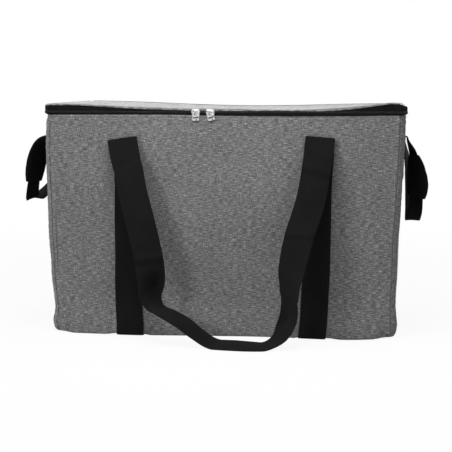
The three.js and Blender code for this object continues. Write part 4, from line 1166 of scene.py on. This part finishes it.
def catmull(points, t):
    """A point of a centripetal Catmull-Rom curve, as three.js draws it."""
    scaled = t * (len(points) - 1)
    i = min(int(scaled), len(points) - 2)
    w = scaled - i
    p1, p2 = points[i], points[i + 1]
    p0 = points[i - 1] if i > 0 else 2 * p1 - p2
    p3 = points[i + 2] if i + 2 < len(points) else 2 * p2 - p1
    steps = (p1 - p0, p2 - p1, p3 - p2)
    d0, d1, d2 = (max(np.sum(step ** 2) ** 0.25, 1e-4) for step in steps)
    m1 = ((p1 - p0) / d0 - (p2 - p0) / (d0 + d1) + (p2 - p1) / d1) * d1
    m2 = ((p2 - p1) / d1 - (p3 - p1) / (d1 + d2) + (p3 - p2) / d2) * d1
    return p1 + w * (m1 + w * (3 * (p2 - p1) - 2 * m1 - m2 + w * (2 * (p1 - p2) + m1 + m2)))


def strip_middle(side, middle, z):
    """The middle of a sewn strip, which keeps its share of the side as the wall tapers."""
    reach = [half_sizes(height)[side % 2] - CORNER_RADIUS for height in (z, PANEL_HEIGHT)]
    return middle * reach[0] / reach[1]


def flat_stand(side, u, z):
    """How far the CAD wall stands out at a point of a side, without the sag."""
    sizes = half_sizes(z)
    crown = (FACE_CROWN, SIDE_CROWN)[side % 2] * crown_at(z)
    return sizes[1 - side % 2] + crown * (1 - (u / (sizes[side % 2] - CORNER_RADIUS)) ** 2)


def fold_middle(side, middle, width):
    """The middle of the fold at the top of a sewn strip, seen as if on the front."""
    u = strip_middle(side, middle, FOLD_HEIGHT)
    stand = max(flat_stand(side, u + edge * width, FOLD_HEIGHT) for edge in (-0.5, 0, 0.5))
    return np.array([u, -(stand + CLEARANCE + WEBBING + FOLD_RADIUS), FOLD_HEIGHT])


def stations(route, left, right, lowest, count):
    """Places, across vectors and normals along a handle, from the rows of its route."""
    share, out, height, turn = np.array(route, float).T
    top = left[2] - CLEARANCE
    knots = np.stack([left[0] + (right[0] - left[0]) * share,
                      left[1] + (right[1] - left[1]) * share - FOLD_MIDDLE - out,
                      lowest + (top - lowest) * height], -1)
    turn_knots = np.stack([np.arange(len(turn)), turn], -1)
    fine = np.linspace(0, 1, ROUTE_STEPS)
    path = np.array([catmull(knots, t) for t in fine])
    path[:, 2] = np.maximum(path[:, 2], lowest)
    turns = np.array([catmull(turn_knots, t)[1] for t in fine])
    length = run_along(path)
    at = np.linspace(0, length[-1], count)
    point = np.stack([np.interp(at, length, path[:, k]) for k in range(3)], -1)
    turn = np.radians(np.interp(at, length, turns))
    travel = np.gradient(point, axis=0)
    travel[0], travel[-1] = (0, 0, -1), (0, 0, 1)
    travel = unit(travel)
    normal = unit(np.cross(travel, spatial(np.cos(turn), np.sin(turn), 0)))
    return at, point, unit(np.cross(normal, travel)), normal


def turned(points, side):
    """Turns points drawn as if on the front to their own side."""
    (x, y, z), angle = np.moveaxis(points, -1, 0), side * np.pi / 2
    return np.stack([x * math.cos(angle) - y * math.sin(angle),
                     x * math.sin(angle) + y * math.cos(angle), z], -1)


def end_rings(centre, ring, towards):
    """One end of a handle: a stub of the sewn stretch and half a turn over the fold."""
    across, wall_side = centre[0] + ring[:, 0] * towards, centre[1] + FOLD_MIDDLE
    rings = [spatial(across, wall_side + ring[:, 1], centre[2] - drop) for drop in (3.0, 1.5, 0.0)]
    radius = FOLD_MIDDLE + ring[:, 1]
    for angle in np.linspace(0, np.pi, 13)[1:-1]:
        rings.append(spatial(across, centre[1] + radius * np.cos(angle),
                             centre[2] + radius * np.sin(angle)))
    return rings[::towards]


def loop_rings(frames, ring, cup, creases, dents=(), tilt=((0, 0), (1, 0))):
    """Rings of the free stretch. cup bows the section, a crease is a soft ridge across it, a dent
    a hollow in it, and tilt turns it about its length. What would go below the floor is lifted."""
    at, side, rings = frames[0], ring[:, 0], []
    half, total = np.abs(side).max(), at[-1]
    for s, p, a, n in zip(*frames):
        bow = table(s / total, cup) * (1 - (side / half) ** 2)
        fold = sum(depth * bump(s - place * total - lean * side, 0, width)
                   for place, lean, depth, width in creases)
        fold += sum(depth * bump(s - place * total, 0, length) * bump(side, middle, width)
                    for place, middle, depth, length, width in dents)
        out = ring[:, 1] + bow + fold * smooth(0, 25, s) * smooth(0, 25, total - s)
        angle = math.radians(table(s / total, tilt))
        cos, sin = math.cos(angle), math.sin(angle)
        points = p + side[:, None] * (a * cos + n * sin) + out[:, None] * (n * cos - a * sin)
        points[:, 2] += max(0.0, 0.1 - points[:, 2].min())
        rings.append(points)
    return rings


def bend_at_fold(obj):
    """Bakes the strap's transform into its mesh."""
    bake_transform(obj)


def handle(name, side, width, spacing, route, lowest, count, body, nodes, *shape):
    """The free loop of a handle with its two folds, as one strap that runs half a turn over each
    fold.
    """
    ring = ring_across(width, 10)
    left, right = (fold_middle(side, middle, width) for middle in (-spacing / 2, spacing / 2))
    frames = stations(route, left, right, lowest, count)
    rings = np.array([*end_rings(left, ring, 1), *loop_rings(frames, ring, *shape),
                      *end_rings(right, ring, -1)])
    along = run_along(rings.mean(1))
    obj = strap(name, leaned(turned(rings, side), side), along, ring, None, nodes)
    bend_at_fold(obj)
    return frames


def sewn_run(name, side, middle, width, low, nodes, lean, under):
    """A stretch of webbing sewn flat up a side to its fold, perhaps from under the bag's edge."""
    ring, rings, foot = ring_across(width, 10), [], FOOT_OVER_STRAP + ROLL
    across, out = ring.T
    high = FOLD_HEIGHT - STRAP_MARGIN
    z_list = np.linspace(foot if under else low, high, int((high - low) / 6))
    for angle in np.radians([90, 90, 78, 66, 54, 42, 30, 18, 8] if under else []):
        radius = ROLL + CLEARANCE + WEBBING / 2 - out
        inset = ROLL - radius * math.cos(angle) + (0.0 if rings else 14.0)
        u = strip_middle(side, middle, 8.0) + table(0.0, lean) + across * RUN_NARROWING
        points = on_side(side, u, np.full(len(ring), foot), inset)
        points[:, 2] = np.maximum(foot - radius * math.sin(angle), 0.02)
        rings.append(points)
    top = fold_middle(side, middle, width)
    for z in z_list:
        narrow = run_narrow(z) if side % 2 == 0 else 1.0
        u = strip_middle(side, middle, z) + table(z, lean) + across * narrow
        points = on_side(side, u, np.full(len(ring), z), out - CLEARANCE - WEBBING / 2)
        straight = turned(spatial(top[0] + across, top[1] + FOLD_MIDDLE + out, z), side)
        rings.append(points + (straight - points) * smooth(FOLD_HEIGHT - 14, FOLD_HEIGHT - 3, z))
    rings = np.array(rings)
    strap(name, leaned(rings, side), run_along(rings.mean(1)), ring, "body", nodes)


# Routes of the handles from fold to fold: the share of the way across, how far out, the share of
# the height and the angle turned about the vertical
FRONT_LOOP = (
    (0, 0, 1, 0), (0, 1, 0.985, 0), (0.006, 8, 0.9, 0), (0.032, 17, 0.76, 0),
    (0.083, 27, 0.58, 2), (0.128, 33, 0.4, 8), (0.143, 38, 0.29, 26), (0.142, 44, 0.21, 54),
    (0.172, 50, 0.167, 65), (0.24, 56, 0.139, 70), (0.32, 63, 0.1, 74), (0.39, 70, 0.054, 80),
    (0.465, 77, 0.014, 85), (0.56, 83, 0, 89), (0.66, 86, 0, 91), (0.75, 82, 0.01, 98),
    (0.81, 73, 0.045, 116), (0.843, 62, 0.12, 133), (0.856, 54, 0.2, 128), (0.858, 48, 0.28, 136),
    (0.864, 41, 0.36, 160), (0.898, 31, 0.52, 177), (0.955, 19, 0.7, 180), (0.985, 9, 0.87, 180),
    (1, 1, 0.985, 180), (1, 0, 1, 180))
REAR_HALF = (
    (0, 0, 1, 0), (0, 1, 0.985, 0), (0.005, 8, 0.9, 0), (0.015, 18, 0.74, 0), (0.03, 27, 0.56, 3),
    (0.06, 35, 0.38, 10), (0.1, 43, 0.24, 24), (0.16, 51, 0.14, 42), (0.24, 59, 0.075, 62),
    (0.34, 67, 0.035, 78), (0.42, 71, 0.006, 87))
REAR_LOOP = (*REAR_HALF, (0.5, 73, 0, 90), *((1 - share, out, height, 180 - turn)
                                             for share, out, height, turn in REAR_HALF[::-1]))
RIGHT_GRAB = (
    (0, 0, 1, 0), (0, 1.5, 0.96, 6), (0, 8.5, 0.85, 24), (0.01, 15, 0.68, 36), (0.04, 19, 0.48, 48),
    (0.08, 17.5, 0.28, 60), (0.13, 16, 0.12, 74), (0.21, 13, 0.02, 84), (0.34, 13, 0.02, 93),
    (0.5, 14, 0.16, 104), (0.67, 13, 0.38, 126), (0.83, 9, 0.64, 150), (0.95, 4, 0.86, 170),
    (1, 1, 0.97, 179), (1, 0, 1, 180))
LEFT_GRAB = (
    (0, 0, 1, 0), (0, 1, 0.96, 2), (0.05, 4, 0.83, 10), (0.18, 9, 0.62, 26), (0.35, 14, 0.42, 44),
    (0.55, 22, 0.22, 62), (0.74, 34, 0.07, 84), (0.84, 42, 0.01, 104), (0.9, 46, 0.015, 122),
    (0.935, 45, 0.13, 136), (0.955, 42, 0.28, 141), (0.97, 39, 0.44, 143), (0.98, 35, 0.61, 145),
    (0.99, 29, 0.78, 148), (0.995, 21, 0.92, 153), (1, 12, 0.99, 162), (1, 4, 1, 174),
    (1, 0, 1, 180))

# Shapes of the webbing along each loop, as loop_rings takes them
FRONT_CUP = (
    (0, 0), (0.08, 0.4), (0.2, 0.8), (0.25, 0.4), (0.3, -3.5), (0.33, -1.0), (0.36, 2.0),
    (0.5, 0.8), (0.6, 0.6), (0.65, -2.0), (0.7, 0.5), (0.76, 1.5), (0.82, 1.0), (0.92, 0.5), (1, 0))
FRONT_CREASES = (
    (0.238, 0.05, 2.0, 6), (0.252, 0.05, -1.5, 6), (0.335, -0.5, 1.4, 7), (0.69, 0.5, 1.6, 7),
    (0.803, -0.25, -1.6, 3.2), (0.811, -0.25, 1.1, 4), (0.928, 0.1, -1.8, 4), (0.941, 0.1, 1.3, 5),
    (0.05, -0.1, -0.8, 5), (0.16, 0.3, 0.7, 8))
FRONT_DENTS = ((0.298, 8, -9.5, 20, 13), (0.648, 12, -8.5, 16, 11))
FRONT_TILT = ((0, 0), (0.33, 0), (0.38, 6), (0.44, 9), (0.5, 8), (0.55, 6), (0.6, 3), (0.64, 0),
              (1, 0))
REAR_CUP = ((0, 0), (0.15, 0.8), (0.3, 2.4), (0.5, 0.6), (0.7, 2.4), (0.85, 0.8), (1, 0))
REAR_CREASES = ((0.27, 0.3, 1.4, 9), (0.36, -0.3, 1.6, 11), (0.66, 0.3, 1.5, 10),
                (0.74, -0.3, 1.2, 9))
GRAB_CUP = ((0, 0), (0.3, 0.6), (0.6, 1.0), (1, 0))
GRAB_CREASES = ((0.55, 0.3, 0.8, 6), (0.8, -0.2, 0.6, 6))

# How far the sewn stretches of the front webbing stray from their straight line, by height, and
# how much narrower they are than the handle
RUN_NARROWING = 0.95
STRAIGHT = ((0, 0), (FOLD_HEIGHT, 0))
RUN_LEAN = {
    "front_left": ((0, -0.4), (21, -1.2), (33, -3.1), (58, -4.9), (88, -4.3), (121, -2.6),
                   (200, -1.8), (262, 0.0), (330, 0.0)),
    "front_right": ((0, -7.6), (9, -6.8), (21, -5.2), (33, -3.9), (58, -2.8), (88, -2.8),
                    (137, -2.8), (195, -2.6), (262, -2.7), (285, -2.2), (310, -0.6), (330, 0.0)),
}


def run_narrow(z):
    return 1 - (1 - RUN_NARROWING) * (1 - smooth(230, 300, z))


def leaned(points, side):
    """The front folds are sewn on aslant: near its top their webbing turns about its middle."""
    if side != FRONT:
        return points
    out = points.copy()
    x, _, z = np.moveaxis(points, -1, 0)
    for towards, angle, low, rise in ((-1, 8.7, 262.0, -1.0), (1, -4.8, 300.0, 2.0)):
        mine = (x * towards > 0).astype(float)
        turn = math.tan(math.radians(angle)) * smooth(low, low + 28, z) * mine
        shift = -turn * np.maximum(z - low - 14, 0)
        if towards > 0:
            shift = shift + turn * (FOLD_HEIGHT - low - 14)
        pivot = towards * STRAP_SPACING / 2 * 0.997
        out[..., 0] += shift
        out[..., 2] += turn * (x - pivot) + rise * smooth(low, FOLD_HEIGHT, z) * mine
    return out


def long_handles():
    """The front and the rear handle. The rear one is seen from behind, so its sides swap."""
    for end, side, route, shape, names in (
            ("front", FRONT, FRONT_LOOP, (FRONT_CUP, FRONT_CREASES, FRONT_DENTS, FRONT_TILT),
             ("front_left", "front_right")),
            ("rear", BACK, REAR_LOOP, (REAR_CUP, REAR_CREASES), ("rear_right", "rear_left"))):
        nodes = (f"{end}_handle", f"{end}_left_fold", f"{end}_right_fold")
        handle(f"{end}_handle_webbing", side, STRAP_WIDTH, STRAP_SPACING, route,
               WEBBING / 2 + 0.1, HANDLE_STATIONS, f"{end}_handle", nodes, *shape)
        for middle, name in zip((-STRAP_SPACING / 2, STRAP_SPACING / 2), names):
            sewn_run(f"{name}_webbing", side, middle, STRAP_WIDTH, 0.0, (f"{name}_strap",),
                     RUN_LEAN.get(name, STRAIGHT), under=True)


def sleeve(name, side, frames, reach, seed):
    """A padded wrap round a grab handle: a soft thick tube with narrower, flatter ends."""
    at, point, across, normal = frames
    first, last = (int(share * (len(at) - 1)) for share in reach)
    waves, count = seeded_waves(seed, 6, 0.35, (13, 40)), 40
    cos, sin = (trig(2 * np.pi * np.arange(count) / count) for trig in (np.cos, np.sin))
    shape = np.stack([np.sign(trig) * np.abs(trig) ** power
                      for trig, power in zip((cos, sin), SLEEVE_SQUARENESS)], -1)
    seam = -0.5 * bump(shape[:, 0], 0.55, 0.05) * (shape[:, 1] > 0)
    outer, inner = [], []
    for i in range(first, last + 1):
        t = (i - first) / (last - first)
        full = 1 - SLEEVE_TAPER * abs(2 * t - 1) ** 2.6
        puff = 1 - SLEEVE_THINNING + SLEEVE_THINNING * np.sin(np.pi * t) ** 0.6
        soft = ripples(shape[:, 0] * SLEEVE_WIDTH / 2, at[i], waves) * np.sin(np.pi * t)
        section = shape * (SLEEVE_WIDTH / 2 * full, SLEEVE_THICKNESS / 2 * puff)
        section[:, 1] += (soft + seam) * shape[:, 1]
        slot = shape * (SLEEVE_SLOT[0] / 2, SLEEVE_SLOT[1] / 2)
        for rings, pairs in ((outer, section), (inner, slot)):
            rings.append(point[i] + pairs[:, :1] * across[i] + pairs[:, 1:] * normal[i])
    lengths = at[first:last + 1]
    along = np.concatenate([lengths, lengths[::-1], lengths[:1]])
    u, v = np.meshgrid(np.arange(count + 1) * 110.0 / count, along)
    build = Build()
    index = build.add_points(turned(np.array([*outer, *inner[::-1]]), side))
    index = np.concatenate([index, index[:1]])
    build.quads(index.T[::-1], u.T[::-1], v.T[::-1], closed=True)
    obj = piece(f"{name}_grab_pad", build, "tape", None, (f"{name}_grab_sleeve",))
    bend_at_fold(obj)


def grab_handles():
    for name, side, route, drop, reach, seed, ends in (
            ("right", RIGHT, RIGHT_GRAB, 147.0, (0.1, 0.31), 41, ("front", "rear")),
            ("left", LEFT, LEFT_GRAB, 112.0, (0.69, 0.975), 43, ("rear", "front"))):
        nodes = (f"{name}_grab_handle", f"{name}_front_fold", f"{name}_rear_fold")
        frames = handle(f"{name}_grab_webbing", side, GRAB_WIDTH, GRAB_SPACING, route,
                        FOLD_HEIGHT - drop, GRAB_STATIONS, f"{name}_grab", nodes, GRAB_CUP,
                        GRAB_CREASES)
        sleeve(name, side, frames, reach, seed)
        for middle, end in zip((-GRAB_SPACING / 2, GRAB_SPACING / 2), ends):
            sewn_run(f"{name}_{end}_tab", side, middle, GRAB_WIDTH, FOLD_HEIGHT - GRAB_ANCHOR,
                     (f"{name}_{end}_anchor",), STRAIGHT, under=False)


# Stitching

def stitch_row(build, path, outward):
    """Thread along a path on the cloth. Each stitch is an arch that dips in at both ends."""
    run = run_along(path)
    count = int(run[-1] // STITCH_PITCH)
    spare = run[-1] - (count - 1) * STITCH_PITCH - STITCH_LENGTH
    starts = spare / 2 + STITCH_PITCH * np.arange(count)
    t = np.linspace(0, 1, 5)
    at = starts[:, None] + STITCH_LENGTH * t
    spine, out = (np.stack([np.interp(at, run, values[:, k]) for k in range(3)], -1)
                  for values in (path, outward))
    along, out = unit(np.gradient(spine, axis=1)), unit(out)
    dip = np.abs(2 * t - 1)[:, None] ** 3
    spine = spine + out * (THREAD_RADIUS * (0.5 - 1.6 * dip))
    circles = around(np.cross(along, out), out, 6)
    rings = spine[:, :, None] + (THREAD_RADIUS * (1 - 0.35 * dip))[..., None] * circles
    for lengths, stitch in zip(at, rings):
        build.tube(stitch, np.arange(7) * 0.36, lengths[:, None])


def seam_on_side(build, side, u, z, depth):
    """A row of stitches along points of a side, given by their places across and up it."""
    low, high = on_side(side, u, z, depth), on_side(side, u, z, depth - 1)
    stitch_row(build, leaned(low, side), high - low)


def strap_stitching():
    """Two rows along every sewn strap, and a box with a cross on every tab of the grab handles."""
    build = Build()
    face = -CLEARANCE - WEBBING
    z = np.linspace(*STRAP_ROWS, 120)
    half = STRAP_WIDTH / 2 - STRAP_MARGIN
    for side, towards, name in ((FRONT, -1, "front_left"), (FRONT, 1, "front_right"),
                                (BACK, 1, "rear_left"), (BACK, -1, "rear_right")):
        middle = strip_middle(side, towards * STRAP_SPACING / 2, z)
        middle = middle + table(z, RUN_LEAN.get(name, STRAIGHT))
        for edge in (-1, 1):
            seam_on_side(build, side, middle + edge * half * run_narrow(z), z, face)
    low, high = TAB_ROWS
    half = GRAB_WIDTH / 2 - TAB_MARGIN
    corners = np.array([(-half, low), (half, low), (half, high), (-half, high)])
    for side, towards in ((RIGHT, -1), (RIGHT, 1), (LEFT, -1), (LEFT, 1)):
        for start, end in ((0, 1), (1, 2), (2, 3), (3, 0), (0, 2), (3, 1)):
            step = corners[end] - corners[start]
            across, up = (corners[start] + step * np.linspace(0, 1, 20)[:, None]).T
            middle = strip_middle(side, towards * GRAB_SPACING / 2, up)
            seam_on_side(build, side, middle + across, up, face)
    piece("strap_stitching", build, "black_thread", "body")


def cloth_stitching():
    """Topstitching below the zip, beside the corner seams and round the lid."""
    def out_of(place, z):
        return wall(place, z, -1) - wall(place, z, 0)

    build = Build()
    place = columns(5.0, ZIP_START + 0.02, ZIP_END - 0.02)
    hem = np.full(len(place), PANEL_HEIGHT - HEM_DROP)
    stitch_row(build, wall(place, hem, tuck_at(place, hem) + 0.1), out_of(place, hem))
    z = np.linspace(16, PANEL_HEIGHT - 12, 140)
    for index, seam in enumerate(SEAM_PLACES):
        beside = np.full(len(z), place_at(run_of(seam) + (SEAM_SIDE if index % 2 else -SEAM_SIDE)))
        stitch_row(build, wall(beside, z, 0.15), out_of(beside, z))
    piece("body_stitching", build, "grey_thread", "body")
    build = Build()
    edge = wall(place, PANEL_HEIGHT, LID_EDGE - 0.3 * corner_push(place))
    edge[:, 2] = lid_top_at(edge[:, 0], edge[:, 1]) + 0.05
    stitch_row(build, edge, np.broadcast_to((0.0, 0.0, 1.0), edge.shape))
    piece("lid_stitching", build, "grey_thread", "lid")


# Stage, light and camera

WHITE = (1, 1, 1, 1)


def stage():
    """A white floor. What the camera sees of it glows, a little less close to the bag."""
    material = bpy.data.materials.new("floor_white")
    material.use_nodes = True
    material.node_tree.nodes.clear()
    g = Nodes(material.node_tree)
    diffuse = g.node("ShaderNodeBsdfDiffuse", {0: (*[FLOOR_GREY] * 3, 1)}).outputs[0]
    glow = g.node("ShaderNodeEmission", {0: WHITE}).outputs[0]
    place = g.node("ShaderNodeTexCoord").outputs["Object"]
    away = g.node("ShaderNodeVectorMath", {0: place}, operation="LENGTH").outputs["Value"]
    glows = {0: away, 1: GLOW_NEAR, 2: GLOW_FAR, 3: FLOOR_GLOW, 4: 1.0}
    share = g.times(g.seen(), g.node("ShaderNodeMapRange", glows).outputs[0])
    g.mixed(share, diffuse, glow, "ShaderNodeOutputMaterial")
    floor = bpy.data.meshes.new("floor")
    signs = ((-1, -1), (1, -1), (1, 1), (-1, 1))
    corners = [(x * FLOOR_SIZE, y * FLOOR_SIZE, 0) for x, y in signs]
    floor.from_pydata(corners, [], [(0, 1, 2, 3)])
    floor.materials.append(material)
    obj = link("floor", floor)
    obj.location.z = -FLOOR_DROP


def world():
    """A weak white fill that looks fully white to the camera."""
    studio = bpy.data.worlds.new("studio")
    bpy.context.scene.world = studio
    studio.use_nodes = True
    studio.node_tree.nodes.clear()
    g = Nodes(studio.node_tree)
    fill, white = (g.node("ShaderNodeBackground", {0: WHITE, 1: strength}).outputs[0]
                   for strength in (WORLD_LIGHT, 1.0))
    g.mixed(g.seen(), fill, white, "ShaderNodeOutputWorld")


def lamp(name, place, target, size, power):
    light = bpy.data.lights.new(name, "AREA")
    light.shape = "RECTANGLE"
    light.size, light.size_y = size
    light.energy = power
    obj = link(name, light)
    obj.location = place
    obj.rotation_euler = (Vector(target) - Vector(place)).to_track_quat("-Z", "Y").to_euler()


def camera():
    data = bpy.data.cameras.new("camera")
    data.sensor_width = SENSOR
    data.lens = SENSOR * FOCAL_PIXELS / PHOTO_PIXELS
    obj = link("camera", data)
    obj.location = CAMERA_PLACE
    obj.rotation_euler = (math.radians(90 - CAMERA_DOWN), 0, math.radians(CAMERA_TURN))
    bpy.context.scene.camera = obj


camera()
body_shell()
base_parts()
lining()
lid_shell()
lid_inside()
hinge_cloth()
zip_tapes()
coil("body", ZIP_HEIGHT - COIL_SPREAD, 0.0, BODY_COIL_RISE)
coil("lid", ZIP_HEIGHT + COIL_SPREAD, np.pi, LID_COIL_RISE)
slider("left_slider", SLIDER_X[0], 1)
pull("left_pull", SLIDER_X[0], 0.0)
slider("right_slider", SLIDER_X[1], -1)
pull("right_pull", SLIDER_X[1] + RIGHT_PULL_SHIFT, RIGHT_PULL_LEAN)
long_handles()
grab_handles()
strap_stitching()
cloth_stitching()
stage()
world()
for values in LAMPS:
    lamp(*values)
bpy.context.scene.view_settings.view_transform = "Standard"
